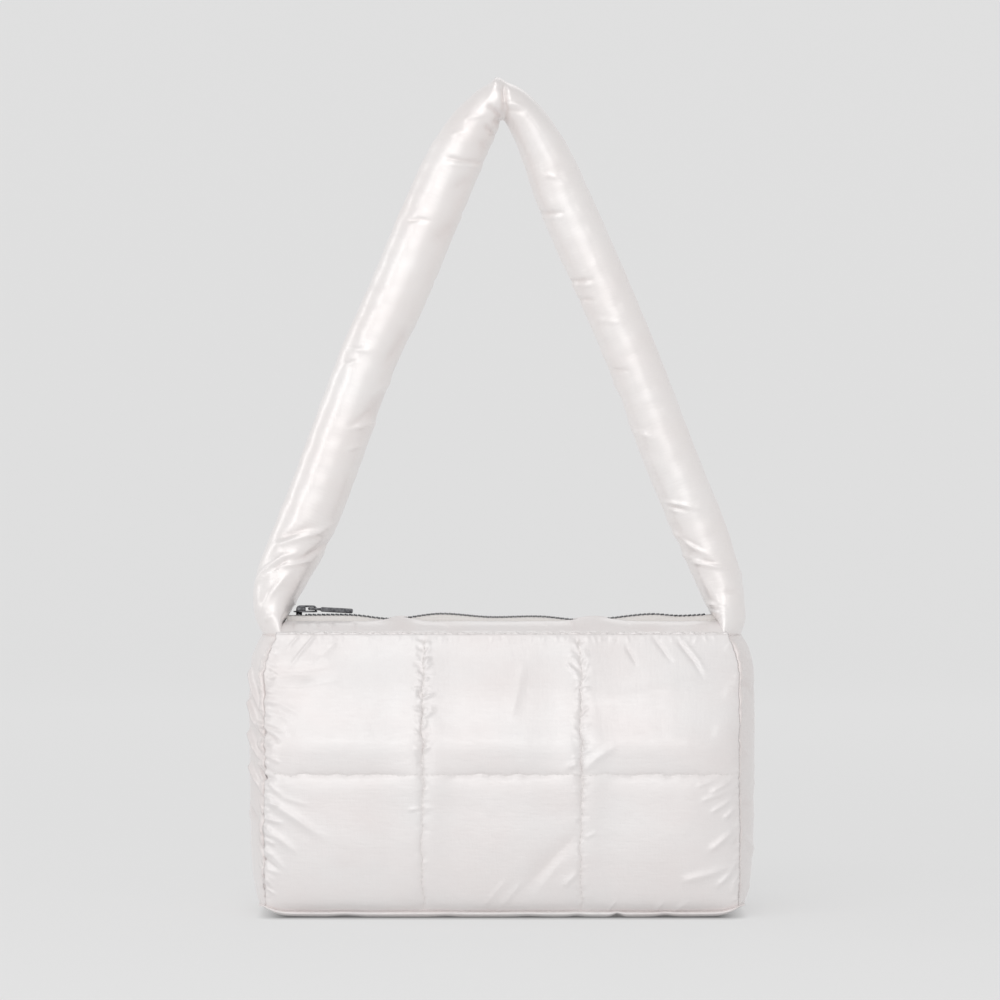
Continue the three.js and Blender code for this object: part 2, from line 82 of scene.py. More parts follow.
# sum of sine waves in random directions round one wavelength, about 1 high
def ripple(rng, x, z, wavelength, count=14):
    turn, phase = rng.uniform(0, 2 * np.pi, (2, count))
    length = wavelength * rng.uniform(0.6, 1.7, count)
    across = x[..., None] * np.cos(turn) + z[..., None] * np.sin(turn)
    return np.sin(across * 2 * np.pi / length + phase).sum(-1) / np.sqrt(count / 2)


foldForm = {"grow": 5.0, "foot": 0.55, "fade": 2.2, "round": 1.6}   # blunt start, thin far end


# height of folds at (x, z): rise * exp(-(distance from the fold's line / spread)^round), faded at both ends
def foldHeight(folds, x, z):
    total = np.zeros_like(x)
    for points, spread, rise in folds:
        line = np.asarray(points, float)
        legs = np.diff(line, axis=0)
        lengths = np.hypot(legs[:, 0], legs[:, 1])
        before = np.concatenate([[0], np.cumsum(lengths)])
        nearest, at = np.full(x.shape, 1e9), np.zeros(x.shape)
        for start, leg, length, done in zip(line, legs, lengths, before):
            t = np.clip(((x - start[0]) * leg[0] + (z - start[1]) * leg[1]) / length**2, 0, 1)
            away = np.hypot(x - start[0] - t * leg[0], z - start[1] - t * leg[1])
            closer = away < nearest
            nearest = np.where(closer, away, nearest)
            at = np.where(closer, (done + t * length) / before[-1], at)
        fade = np.clip(foldForm["grow"] * at + foldForm["foot"], 0, 1)
        fade = fade * np.clip(foldForm["fade"] * (1 - at), 0, 1)
        total += rise * fade * np.exp(-((nearest / spread) ** foldForm["round"]))
    return total


puckerForm = {"most": 400, "turn": 26, "sunkShare": 0.3, "sunk": -0.7, "shortest": 0.45, "weakest": 0.08}


# short folds that leave a seam: spaced, turned and sized at random, stronger where the table says, some sunk
def seamPuckers(rng, start, end, pucker):
    start, end = np.asarray(start, float), np.asarray(end, float)
    length = np.hypot(*(end - start))
    at = np.cumsum(rng.uniform(*pucker["pitch"], puckerForm["most"]))
    at = at[at < length - 1] / length
    count = len(at)
    forward = (end - start) / length
    side = np.array([-forward[1], forward[0]]) * pucker["side"]
    strength = tableAt(pucker["strength"], 1, at)
    slant = np.radians(pucker["slant"] + rng.uniform(-puckerForm["turn"], puckerForm["turn"], count))
    least = puckerForm["shortest"]
    reach = rng.uniform(*pucker["reach"], count) * (least + (1 - least) * strength)
    rise = rng.uniform(*pucker["rise"], count) * strength
    rise = rise * np.where(rng.random(count) < puckerForm["sunkShare"], puckerForm["sunk"], 1)
    spread = rng.uniform(*pucker["spread"], count)
    foot = start + at[:, None] * (end - start)
    if "curve" in pucker:
        foot[:, 0] = pucker["curve"](foot[:, 1])
    tip = foot + reach[:, None] * (np.cos(slant)[:, None] * side + np.sin(slant)[:, None] * forward)
    rows = zip(foot, tip, spread, rise, strength)
    return [([a, b], width, high) for a, b, width, high, much in rows if much > puckerForm["weakest"]]


# quads over a grid of rows and columns, joined round when wrap is set
def gridFaces(rows, columns, wrap=False):
    j, i = np.meshgrid(np.arange(rows - 1), np.arange(columns if wrap else columns - 1), indexing="ij")
    j, i = j.ravel(), i.ravel()
    rowAt = np.stack([j, j, j + 1, j + 1], axis=1)
    columnAt = np.stack([i, i + 1, i + 1, i], axis=1)
    return rowAt, columnAt


# unit normals of a grid: across the columns times up the rows
def gridNormals(points, wrap=False):
    if wrap:
        across = np.roll(points, -1, axis=1) - np.roll(points, 1, axis=1)
    else:
        across = np.gradient(points, axis=1)
    normal = np.cross(across, np.gradient(points, axis=0))
    return normal / np.maximum(np.linalg.norm(normal, axis=2, keepdims=True), 1e-9)


# twice as many steps along one axis: the new points are four-point averages (-1, 9, 9, -1) / 16
def refineAlong(points, axis, wrap=False):
    points = np.moveaxis(points, axis, 0)
    if wrap:
        before, after, later = np.roll(points, 1, 0), np.roll(points, -1, 0), np.roll(points, -2, 0)
        middle = (9 * (points + after) - before - later) / 16
        dense = np.stack([points, middle], axis=1).reshape(-1, *points.shape[1:])
    else:
        padded = np.concatenate([2 * points[:1] - points[1:2], points, 2 * points[-1:] - points[-2:-1]])
        middle = (9 * (padded[1:-2] + padded[2:-1]) - padded[:-3] - padded[3:]) / 16
        dense = np.zeros((2 * len(points) - 1, *points.shape[1:]))
        dense[0::2], dense[1::2] = points, middle
    return np.moveaxis(dense, 0, axis)


# twice as fine both ways
def refine(points, wrap=False):
    return refineAlong(refineAlong(points, 0), 1, wrap)


# softens a grid: each point moves by its share towards the mean of its four neighbours, several times over
def soften(points, share, passes, wrap=False):
    for turn in range(passes):
        beside = np.roll(points, 1, 1) + np.roll(points, -1, 1)
        mean = points.copy()
        mean[1:-1] = (points[:-2] + points[2:] + beside[1:-1]) / 4
        if not wrap:
            mean[:, [0, -1]] = points[:, [0, -1]]
        points = points + share[..., None] * (mean - points)
    return points


# makes the mesh of a piece from points in millimetres and sets of equal-sided faces, each with its own UV corners
def addPiece(name, points, faceSets, finish, crease=None):
    mesh = bpy.data.meshes.new(name)
    points = np.asarray(points, float).reshape(-1, 3)
    place = points * 0.001 - np.array([0, 0, bag["hangHeight"] * 0.001])
    sides = np.concatenate([np.full(len(corners), corners.shape[1]) for corners, uv in faceSets])
    loops = np.concatenate([corners.ravel() for corners, uv in faceSets]).astype(np.int32)
    mesh.vertices.add(len(place))
    mesh.vertices.foreach_set("co", place.astype(np.float32).ravel())
    mesh.loops.add(len(loops))
    mesh.loops.foreach_set("vertex_index", loops)
    mesh.polygons.add(len(sides))
    mesh.polygons.foreach_set("loop_start", np.concatenate([[0], np.cumsum(sides)[:-1]]).astype(np.int32))
    mesh.update(calc_edges=True)
    mesh.polygons.foreach_set("use_smooth", np.ones(len(sides), bool))
    uvMap = mesh.uv_layers.new(name="cloth")
    uvs = np.concatenate([uv.reshape(-1, 2) for corners, uv in faceSets])
    uvMap.data.foreach_set("uv", uvs.astype(np.float32).ravel())
    # painted shade of seams, creases and folds, carried as a point attribute
    if crease is not None:
        layer = mesh.attributes.new("crease", "FLOAT", "POINT")
        layer.data.foreach_set("value", np.asarray(crease, np.float32).ravel())
    mesh.materials.append(finish)
    mesh.validate()
    piece = bpy.data.objects.new(name, mesh)
    scene.collection.objects.link(piece)
    return piece


# padded sheet: a fine outer grid, a coarser inner grid that faces the other way, and a rim of many-sided faces
def closedSheet(outer, inner, uv, step):
    rows, columns = outer.shape[:2]
    innerRows, innerColumns = inner.shape[:2]
    rowAt, columnAt = gridFaces(rows, columns)
    outerSet = (rowAt * columns + columnAt, uv[rowAt, columnAt])
    rowAt, columnAt = (part[:, ::-1] for part in gridFaces(innerRows, innerColumns))
    innerUv = uv[::step, ::step]
    first = rows * columns
    innerSet = (first + rowAt * innerColumns + columnAt, innerUv[rowAt, columnAt])

    def border(lastRow, lastColumn):
        down, right = np.arange(lastRow), np.arange(lastColumn)
        rowPath = np.concatenate([0 * right, down, 0 * right + lastRow, lastRow - down])
        columnPath = np.concatenate([right, 0 * down + lastColumn, lastColumn - right, 0 * down])
        return rowPath, columnPath

    outerRow, outerColumn = border(rows - 1, columns - 1)
    innerRow, innerColumn = border(innerRows - 1, innerColumns - 1)
    pick = (np.arange(len(innerRow))[:, None] * step + np.arange(step, -1, -1)) % len(outerRow)
    near = (np.arange(len(innerRow))[:, None] + np.arange(2)) % len(innerRow)
    outerCorners = outerRow[pick] * columns + outerColumn[pick]
    corners = np.concatenate([outerCorners, first + innerRow[near] * innerColumns + innerColumn[near]], axis=1)
    rimUv = np.concatenate(
        [uv[outerRow[pick], outerColumn[pick]], innerUv[innerRow[near], innerColumn[near]]], axis=1)
    points = np.concatenate([outer.reshape(-1, 3), inner.reshape(-1, 3)])
    return points, [outerSet, innerSet, (corners, rimUv)]


# stuffed tube or bar: a ring carried along a path, with a fan to a point at each end
def closedTube(rings, uv):
    rows, columns = rings.shape[:2]
    rowAt, columnAt = gridFaces(rows, columns, True)
    sideSet = (rowAt * columns + columnAt % columns, uv[rowAt, columnAt])
    points = np.concatenate([rings.reshape(-1, 3), rings[:1].mean(axis=1), rings[-1:].mean(axis=1)])
    i = np.arange(columns)
    after = (i + 1) % columns
    first, last = rows * columns, rows * columns + 1
    start = np.stack([0 * i + first, after, i], axis=1)
    end = np.stack([0 * i + last, (rows - 1) * columns + i, (rows - 1) * columns + after], axis=1)
    capUv = np.concatenate([uv[:1, :-1].repeat(3, 0), uv[-1:, :-1].repeat(3, 0)]).reshape(2, 3, columns, 2)
    return points, [sideSet, (start, capUv[0].transpose(1, 0, 2)), (end, capUv[1].transpose(1, 0, 2))]


# several closed shapes of one piece put into one list of points and faces
def together(shapes):
    points, faceSets, first = [], [], 0
    for shapePoints, shapeSets in shapes:
        points.append(shapePoints)
        faceSets += [(corners + first, uv) for corners, uv in shapeSets]
        first += len(shapePoints)
    return np.concatenate(points), faceSets


trial = {"scale": 0.01, "mass": 0.3, "tension": 22, "shear": 8, "airDamping": 1.2, "springDamping": 6}


# blows a grid of cloth out against its seams: edges want the lengths of the cut, pinned points stay
def settleCloth(start, cut, pins, cloth, wrap=False):
    rows, columns = start.shape[:2]
    rowAt, columnAt = gridFaces(rows, columns, wrap)
    mesh = bpy.data.meshes.new("clothTrial")
    mesh.from_pydata(start.reshape(-1, 3) * trial["scale"], [], rowAt * columns + columnAt % columns)
    piece = bpy.data.objects.new("clothTrial", mesh)
    scene.collection.objects.link(piece)
    piece.shape_key_add(name="start")
    cutKey = piece.shape_key_add(name="cut")
    cutKey.data.foreach_set("co", (cut.reshape(-1, 3) * trial["scale"]).astype(np.float32).ravel())
    sewn = piece.vertex_groups.new(name="sewn")
    for weight in np.unique(pins):
        sewn.add(np.flatnonzero(pins.ravel() == weight).tolist(), float(weight), "REPLACE")
    modifier = piece.modifiers.new("cloth", "CLOTH")
    settings = modifier.settings
    settings.quality = cloth["quality"]
    settings.mass = trial["mass"]
    settings.tension_stiffness = settings.compression_stiffness = trial["tension"]
    settings.shear_stiffness = trial["shear"]
    settings.bending_stiffness = cloth["bending"]
    settings.tension_damping = settings.compression_damping = trial["springDamping"]
    settings.air_damping = trial["airDamping"]
    settings.vertex_group_mass = "sewn"
    settings.pin_stiffness = cloth.get("hold", 1)
    settings.use_pressure = True
    settings.uniform_pressure_force = cloth["pressure"]
    settings.rest_shape_key = cutKey
    settings.effector_weights.gravity = 0
    modifier.collision_settings.use_collision = False
    modifier.point_cache.frame_start = 1
    modifier.point_cache.frame_end = cloth["frames"]
    for number in range(1, cloth["frames"] + 1):
        scene.frame_set(number)
    settled = piece.evaluated_get(bpy.context.evaluated_depsgraph_get()).data
    found = np.zeros(rows * columns * 3, np.float32)
    settled.vertices.foreach_get("co", found)
    scene.frame_set(1)
    bpy.data.objects.remove(piece)
    bpy.data.meshes.remove(mesh)
    moved = found.reshape(start.shape) / trial["scale"] - start
    far = np.linalg.norm(moved, axis=2, keepdims=True)
    return start + moved * np.minimum(1, cloth["cap"] / np.maximum(far, 1e-9))


# flat pattern of a cloth: each row and column of the sewn surface laid straight, longer by its share of slack
def cutPattern(surface, slackAcross, slackUp):
    longer = 1 + (slackAcross[:, 1:] + slackAcross[:, :-1]) / 2
    across = np.linalg.norm(np.diff(surface, axis=1), axis=2) * longer
    longer = 1 + (slackUp[1:] + slackUp[:-1]) / 2
    up = np.linalg.norm(np.diff(surface, axis=0), axis=2) * longer
    flat = np.zeros(surface.shape)
    flat[:, 1:, 0] = np.cumsum(across, axis=1)
    flat[:, :, 0] -= flat[:, -1:, 0] / 2
    flat[1:, :, 2] = np.cumsum(up, axis=0)
    return flat


# the bottom corners turn up towards each gusset, as the square of the way into the corner
def cornerLift(x):
    start = panel["profile"][0][2] - bag["cornerReach"]
    return bag["cornerRise"] * np.clip((np.abs(x) - start) / bag["cornerReach"], 0, 1) ** 2


# small helpers: a new material with its tree and shader, one node, and values or links on a node's sockets
def newFinish(name):
    made = bpy.data.materials.new(name)
    made.use_nodes = True
    return made, made.node_tree, made.node_tree.nodes["Principled BSDF"]


def setSockets(node, values):
    for name, value in values.items():
        node.inputs[name].default_value = value


def linkSockets(tree, node, sources):
    for name, source in sources.items():
        tree.links.new(source, node.inputs[name])


def addNode(tree, kind, **values):
    node = tree.nodes.new(kind)
    for key, value in values.items():
        if key in node.inputs:
            node.inputs[key].default_value = value
        else:
            setattr(node, key, value)
    return node


# a texture node laid on the cloth at a scale given in waves per millimetre
def laidOn(tree, source, texture, scale, turn=0):
    mapping = addNode(tree, "ShaderNodeMapping", Scale=(*scale, 1), Rotation=(0, 0, turn))
    linkSockets(tree, mapping, {"Vector": source})
    linkSockets(tree, texture, {"Vector": mapping.outputs["Vector"]})
    return texture.outputs["Fac"]


# soft noise over the cloth
def clothNoise(tree, source, scale, detail, roughness=0.5):
    noise = addNode(tree, "ShaderNodeTexNoise", Scale=1.0, Detail=detail, Roughness=roughness)
    return laidOn(tree, source, noise, scale)


# bumps by a height, over the normal that an earlier bump gave
def addBump(tree, height, distance, strength, below=None):
    bump = addNode(tree, "ShaderNodeBump", Distance=distance, Strength=strength)
    linkSockets(tree, bump, {"Height": height} if below is None else {"Height": height, "Normal": below})
    return bump.outputs["Normal"]


# threads over and under: a wave along times a wave across
def threadWaves(tree, source, perMillimetre):
    both = addNode(tree, "ShaderNodeMath", operation="MULTIPLY")
    for k, direction in enumerate("XY"):
        wave = addNode(tree, "ShaderNodeTexWave", Scale=0.314, Distortion=0.6, bands_direction=direction)
        tree.links.new(laidOn(tree, source, wave, (perMillimetre, perMillimetre)), both.inputs[k])
    return both.outputs[0]


# first * (1 - share) + second * share, each a colour or another node's output
def mixColours(tree, share, first, second):
    mix = addNode(tree, "ShaderNodeMix", data_type="RGBA")
    tree.links.new(share, mix.inputs["Factor"])
    for socket, value in (("A", first), ("B", second)):
        slot = [item for item in mix.inputs if item.name == socket and item.type == "RGBA"][0]
        if isinstance(value, tuple):
            slot.default_value = (*value, 1)
        else:
            tree.links.new(value, slot)
    return [item for item in mix.outputs if item.type == "RGBA"][0]


# a value carried from one range to another; noise stays mostly between 0.3 and 0.7
def spread(tree, value, first, last, low=0.3, high=0.7):
    ranged = addNode(tree, "ShaderNodeMapRange")
    setSockets(ranged, {"From Min": low, "From Max": high, "To Min": first, "To Max": last})
    linkSockets(tree, ranged, {"Value": value})
    return ranged.outputs["Result"]


satin = {
    # colour of the painted shade in seams, creases and folds
    "creased": (0.80, 0.72, 0.70),
    "specular": 0.7, "sheen": 0.2, "sheenRough": 0.35, "coatRough": 0.15,
    "drift": (0.018, 0.026),               # patches of the two colours, in waves per millimetre
    "streak": (0.11, 0.62),                # along and across the streaks
    "crumple": (0.055, 0.075),
    "thread": 1.9,                         # threads per millimetre
    "depths": (0.0016, 0.0004, 0.00004),   # crumple, streaks and thread, in metres
}
# colours that drift into each other, roughness, and the strength of each kind of bump
panelSatin = {
    "colours": ((0.88, 0.855, 0.85), (0.86, 0.812, 0.803)), "rough": (0.37, 0.47), "metallic": 0.24, "coat": 0.5,
    "crumple": 0.28, "streak": 0.28, "crossStreak": 0.2, "thread": 0.25,
}
strapSatin = {   # drawn smooth by its stuffing, so it shines more; its colours are a painted lightening, paler than the panels' satin for the light it catches
    "colours": ((0.94, 0.912, 0.902), (0.92, 0.872, 0.858)), "rough": (0.30, 0.40), "metallic": 0.36, "coat": 0.2,
    "crumple": 0.152, "streak": 0.24, "crossStreak": 0.04, "thread": 0.05,
}


# pearly satin: streaked crinkle and threads as bump, pale and pink drifting over it, and a warmer painted shade
# in the seams, creases and folds
def makeSatin(name, look):
    made, tree, shader = newFinish(name)
    cloth = addNode(tree, "ShaderNodeUVMap", uv_map="cloth").outputs["UV"]
    drift = spread(tree, clothNoise(tree, cloth, satin["drift"], 3), 0, 1)
    creased = addNode(tree, "ShaderNodeAttribute", attribute_name="crease").outputs["Fac"]
    pearl = mixColours(tree, drift, *look["colours"])
    streak = clothNoise(tree, cloth, satin["streak"], 2)
    crossStreak = clothNoise(tree, cloth, satin["streak"][::-1], 2)
    deep, shallow, fine = satin["depths"]
    normal = addBump(tree, clothNoise(tree, cloth, satin["crumple"], 5, 0.55), deep, look["crumple"])
    normal = addBump(tree, streak, shallow, look["streak"], normal)
    normal = addBump(tree, crossStreak, shallow, look["crossStreak"], normal)
    normal = addBump(tree, threadWaves(tree, cloth, satin["thread"]), fine, look["thread"], normal)
    # the painted shade mixes the warmer colour into the pearl where the attribute says
    linkSockets(tree, shader, {"Base Color": mixColours(tree, creased, pearl, satin["creased"]),
                               "Roughness": spread(tree, streak, *look["rough"]), "Normal": normal})
    setSockets(shader, {"Metallic": look["metallic"], "Specular IOR Level": satin["specular"],
                        "Sheen Weight": satin["sheen"], "Sheen Roughness": satin["sheenRough"],
                        "Coat Weight": look["coat"], "Coat Roughness": satin["coatRough"]})
    return made


tapeLook = {
    "cream": (0.92, 0.895, 0.875), "shade": (0.80, 0.765, 0.74), "rough": 0.85, "sheen": 0.2,
    "rib": 1.35, "ribBump": (0.0003, 0.6), "fuzz": (3, 3), "fuzzBump": (0.0002, 0.3),   # bumps: metres, strength
}


# woven tape: a matt twill of ribs along and across, with painted shade between the ribs
def makeTape():
    made, tree, shader = newFinish("wovenTape")
    cloth = addNode(tree, "ShaderNodeUVMap", uv_map="cloth").outputs["UV"]
    weave = threadWaves(tree, cloth, tapeLook["rib"])
    ribbed = addBump(tree, weave, *tapeLook["ribBump"])
    fuzz = clothNoise(tree, cloth, tapeLook["fuzz"], 2)
    # painted shade in the grooves, following the weave that also raises the ribs
    linkSockets(tree, shader, {"Base Color": mixColours(tree, weave, tapeLook["shade"], tapeLook["cream"]),
                               "Normal": addBump(tree, fuzz, *tapeLook["fuzzBump"], ribbed)})
    setSockets(shader, {"Roughness": tapeLook["rough"], "Sheen Weight": tapeLook["sheen"]})
    return made


threadLook = {
    "white": (0.92, 0.90, 0.885), "shade": (0.84, 0.81, 0.79), "rough": 0.55,
    "plies": 2.2, "slant": 0.7, "bump": (0.0001, 0.5),
}


# sewing thread: plies wound across its length, seen as fine slanted bands with painted shade between them
def makeThread():
    made, tree, shader = newFinish("sewingThread")
    cloth = addNode(tree, "ShaderNodeUVMap", uv_map="cloth").outputs["UV"]
    wave = addNode(tree, "ShaderNodeTexWave", Scale=0.6, Distortion=0.4)
    bands = laidOn(tree, cloth, wave, (threadLook["plies"], threadLook["plies"]), threadLook["slant"])
    # painted shade in the grooves between the plies
    linkSockets(tree, shader, {"Base Color": mixColours(tree, bands, threadLook["shade"], threadLook["white"]),
                               "Normal": addBump(tree, bands, *threadLook["bump"])})
    setSockets(shader, {"Roughness": threadLook["rough"]})
    return made


metalLook = {
    "bright": (0.22, 0.22, 0.23), "dark": (0.05, 0.05, 0.055), "rough": (0.16, 0.34),
    "tarnish": 420, "marks": 2600, "bump": (0.00005, 0.2),   # patches and marks are in waves per metre
}


# dark nickel: tarnish drifts between two greys, with fine handling marks in the gloss
def makeNickel():
    made, tree, shader = newFinish("darkNickel")
    place = addNode(tree, "ShaderNodeTexCoord").outputs["Object"]

    def metalNoise(scale, detail):
        noise = addNode(tree, "ShaderNodeTexNoise", Scale=scale, Detail=detail)
        linkSockets(tree, noise, {"Vector": place})
        return noise.outputs["Fac"]

    tarnish = spread(tree, metalNoise(metalLook["tarnish"], 3), 0, 1)
    marks = metalNoise(metalLook["marks"], 2)
    linkSockets(tree, shader, {"Base Color": mixColours(tree, tarnish, metalLook["dark"], metalLook["bright"]),
                               "Roughness": spread(tree, marks, *metalLook["rough"]),
                               "Normal": addBump(tree, marks, *metalLook["bump"])})
    setSockets(shader, {"Metallic": 1})
    return made


pearlSatin, strapSatinPaintedPaler = makeSatin("pearlSatin", panelSatin), makeSatin("strapSatinPaintedPaler", strapSatin)
wovenTape, sewingThread, darkNickel = makeTape(), makeThread(), makeNickel()
print("finishes made")

panel = {
    "profile": [  # height, distance of the seam edge from the middle plane, half width
        (4.8, 46, 127.5), (40, 47.5, 128), (78, 46, 128), (115, 40, 128.2),
        (136, 33.5, 127.8), (147, 29, 125), (152, 26.5, 123.2), (157, 24, 121.2),
    ],
    "rowSeams": (4.8, 77.5, 152.0),
    "columnSeams": (-1, -1 / 3, 1 / 3, 1),
    "steps": (64, 56),        # cloth points across and up one cell
    "crown": 10.0,            # a cell's middle stands this far off its seams
    "startCrown": 7.5,        # and this far before it is blown out
    "power": 2.8,
    "drop": 1.6,              # the lower edge hangs this far down over the base
    "wander": (0.22, 8),      # the corner seams wander sideways: by, wavelength
    "leftWander": 2.4,        # and the left one this many times as much
    "soften": (0.6, 6, 8),    # lumps of the blown cloth are smoothed: share, stretch beside a seam, passes
    "slump": (0.62, 88, 150),   # the upper cells sag: they stand out less by this share, between these heights
    "hang": {"drop": 0.9, "reach": 7.0, "seam": 1.5, "side": 8, "below": -0.3},   # and hang over the level seam
    "fuller": [(2.0, 7.0), (0.7, 6.0)],   # near the base and the corner seams they stand out more: share, reach
    "rowFill": (6.4, 14.0, 13.0),         # wadding fills the grooves: depth, reach below, reach above
    "columnFill": (7.0, 12.0, 12.0),      # and to the left and right of an upright groove
    "fillFade": 9.0,          # the filling fades out over this stretch towards other seams
    "belly": (2.0, 94, 9.0),  # wadding sunk to the lower part of the upper cells: depth, height, spread
    "slackAcross": 0.013,
    "slackUp": 0.042,
    "cloth": {"frames": 26, "quality": 5, "bending": 0.1, "pressure": 5.5, "cap": 6.0},
    "folds": [  # line, spread, rise
        ([(-101.6, 151.4), (-116.4, 133.1)], 0.9, 0.8),
        ([(-110.9, 150.5), (-117.4, 143.0)], 0.8, 0.6),
        ([(-90.5, 148.1), (-103.5, 133.1)], 2.2, 0.5),
        ([(-129.0, 133.1), (-108.6, 132.0), (-88.1, 134.7)], 4.5, -1.5),
        ([(-126.8, 122.9), (-108.6, 122.9), (-86.0, 127.2)], 4.0, 1.2),
        ([(-124.7, 117.5), (-106.4, 108.4)], 1.8, 0.7),
        ([(-124.7, 111.1), (-110.7, 104.6)], 1.5, 0.5),
        ([(-126.8, 72.9), (-122.0, 69.1), (-117.2, 65.4)], 1.4, 1.0),
        ([(-126.8, 63.8), (-112.9, 55.7), (-94.1, 42.8)], 2.4, 1.5),
        ([(-127.9, 56.8), (-122.0, 52.5)], 1.2, 0.9),
        ([(-129.0, 47.6), (-119.3, 43.3), (-109.1, 35.3)], 2.1, 1.3),
        ([(-127.9, 38.0), (-115.6, 26.4)], 2.0, 0.9),
        ([(-129.0, 24.0), (-121.5, 20.2)], 1.3, 0.9),
        ([(-117.7, 65.4), (-103.2, 61.1)], 1.2, 0.4),
        ([(-49.4, 58.9), (-43.0, 60.0), (-36.0, 59.7)], 0.9, 0.7),
        ([(5.9, 110.5), (11.8, 137.4)], 3.0, 0.5),
        ([(35.5, 135.8), (42.5, 129.9)], 1.0, 0.9),
        ([(46.2, 135.8), (43.0, 129.9)], 1.0, 0.7),
        ([(35.5, 81.5), (42.5, 85.2)], 1.4, 1.2),
        ([(43.5, 81.0), (52.7, 87.9), (62.9, 93.8)], 2.4, 1.0),
        ([(67.7, 144.9), (73.6, 134.7)], 1.0, -0.6),
        ([(82.8, 149.8), (92.5, 136.3)], 1.1, -0.6),
        ([(96.2, 147.6), (103.7, 137.9), (109.1, 127.7)], 1.2, -0.9),
        ([(98.9, 147.6), (106.4, 137.9), (110.7, 130.4)], 1.2, 0.5),
        ([(51.1, 115.4), (84.9, 122.9), (124.7, 133.1)], 9.0, 1.0),
        ([(112.9, 68.1), (125.2, 75.6)], 1.3, 0.9),
        ([(108.0, 63.8), (124.2, 69.7)], 1.2, 0.7),
        ([(112.9, 57.8), (125.8, 65.4)], 1.2, 0.9),
        ([(105.3, 71.3), (115.0, 75.0)], 1.0, 0.5),
        ([(119.9, 54.3), (125.8, 60.0)], 1.2, 1.1),
        ([(112.3, 38.0), (125.8, 48.2)], 1.8, 1.4),
        ([(98.4, 21.8), (111.8, 25.1), (126.3, 29.9)], 2.2, 1.3),
        ([(116.1, 19.1), (125.8, 27.2)], 1.6, 1.2),
        ([(57.0, 5.2), (61.8, 12.2)], 0.9, 0.6),
        ([(80.1, 3.0), (88.1, 12.2)], 1.1, 0.7),
        ([(90.3, 4.1), (101.0, 11.1)], 1.1, 0.7),
        ([(33.3, 19.1), (42.5, 27.2)], 1.6, 0.9),
        ([(44.6, 44.1), (51.1, 47.1)], 1.1, 0.5),
        ([(39.2, 44.9), (20.4, 26.1), (1.6, 7.3)], 4.5, -1.0),
        ([(9.7, 19.7), (-3.2, 4.6)], 1.6, 0.6),
        ([(1.1, 20.8), (-12.9, 4.6)], 1.6, 0.5),
        ([(31.2, 31.5), (15.0, 10.0)], 2.5, 0.5),
    ],
    # how strongly each upright seam puckers, from the bottom up
    "puckers": [
        [(0, 0.4), (0.15, 0.9), (0.5, 1), (0.85, 1), (1, 0.5)],
        [(0, 0.25), (0.3, 0.2), (0.48, 0.35), (0.6, 0.8), (0.8, 1), (0.95, 0.7), (1, 0.3)],
        [(0, 0.3), (0.3, 0.3), (0.48, 0.5), (0.75, 0.7), (0.9, 0.8), (1, 0.4)],
        [(0, 0.5), (0.2, 0.5), (0.45, 0.35), (0.6, 0.15), (0.8, 0.35), (1, 0.2)],
    ],
    "seamSlack": [(0.11, 9), (0.085, 6), (0.08, 6), (0.06, 7)],   # extra cloth along each of them: share, reach
    "topSlack": (0.03, 4),      # and along the topstitching
    "wobble": (0.3, 26),        # the slack varies by this share over this wavelength
    "startRipple": (0.15, 7),   # the cloth starts a little rippled: height, wavelength
    # folds fall from the corner seams and rise from the quilted ones
    "edgePucker": {"pitch": (1.8, 5.5), "reach": (3, 12), "rise": (0.6, 1.5), "spread": (0.75, 1.4),
                   "slant": -26},
    "quiltPucker": {"pitch": (1.8, 3.8), "reach": (3, 8.5), "rise": (0.5, 1.3), "spread": (0.7, 1.2),
                    "slant": 28},
    "topPucker": {"pitch": (2.2, 6.5), "reach": (2, 6), "rise": (0.08, 0.3), "spread": (0.6, 1.1), "slant": 0,
                  "side": -1, "strength": [(0, 0.8), (0.5, 0.7), (1, 0.8)]},
    "topHalf": 120,
    "puckerInset": (2, 1),   # puckers keep this far from the base and from the topstitching
    "foldClear": (2.0, 0.45),   # folds and puckers fade out this close to a seam
    "sewing": [(0.5, 11), (0.35, 14)],   # the upright and level seams wander: by, wavelength
    "sewingReach": 3,
    "crease": (0.28, 0.1, 0.15, 0.7),    # painted shade in upright seams, the level one and folds, stretch at a seam
}


# seam edge of a panel at a height: its distance from the middle plane
def panelDepth(z):
    return tableAt(panel["profile"], 1, z)


# and its half width
def panelHalf(z):
    return tableAt(panel["profile"], 2, z)


# sideways wander of the corner seams, the same for a panel and the gusset sewn to it
def seamWander(z):
    by, wavelength = panel["wander"]
    return by * ripple(np.random.default_rng(5), 0 * z, z, wavelength)


# a cell swells as (1 - |s|^p)(1 - |t|^p), with s and t from -1 to 1 between its seams
def cellSwell(u, z):
    def offset(seams, at):
        seams = np.asarray(seams)
        k = np.clip(np.searchsorted(seams, at, side="right") - 1, 0, len(seams) - 2)
        return 2 * (at - seams[k]) / (seams[k + 1] - seams[k]) - 1

    s, t = offset(panel["columnSeams"], u), offset(panel["rowSeams"], z)
    return (1 - np.abs(s) ** panel["power"]) * (1 - np.abs(t) ** panel["power"])


# the sewn face of a panel: across by share of its half width, up by height, on the profile's seam edge
def panelFace(u, z, out):
    wander = seamWander(z) * np.where(u < 0, panel["leftWander"], 1)
    x = u * (panelHalf(z) - bag["seamShift"] + wander * np.abs(u) ** 24)
    low, high = panel["rowSeams"][0], panel["rowSeams"][-1]
    share = 1 - (z - low) / (high - low)
    lift = cornerLift(x) * share**4 - panel["drop"] * share**6
    return np.stack([x, -(panelDepth(z) + bag["seamShift"] + out), z + lift], axis=-1)


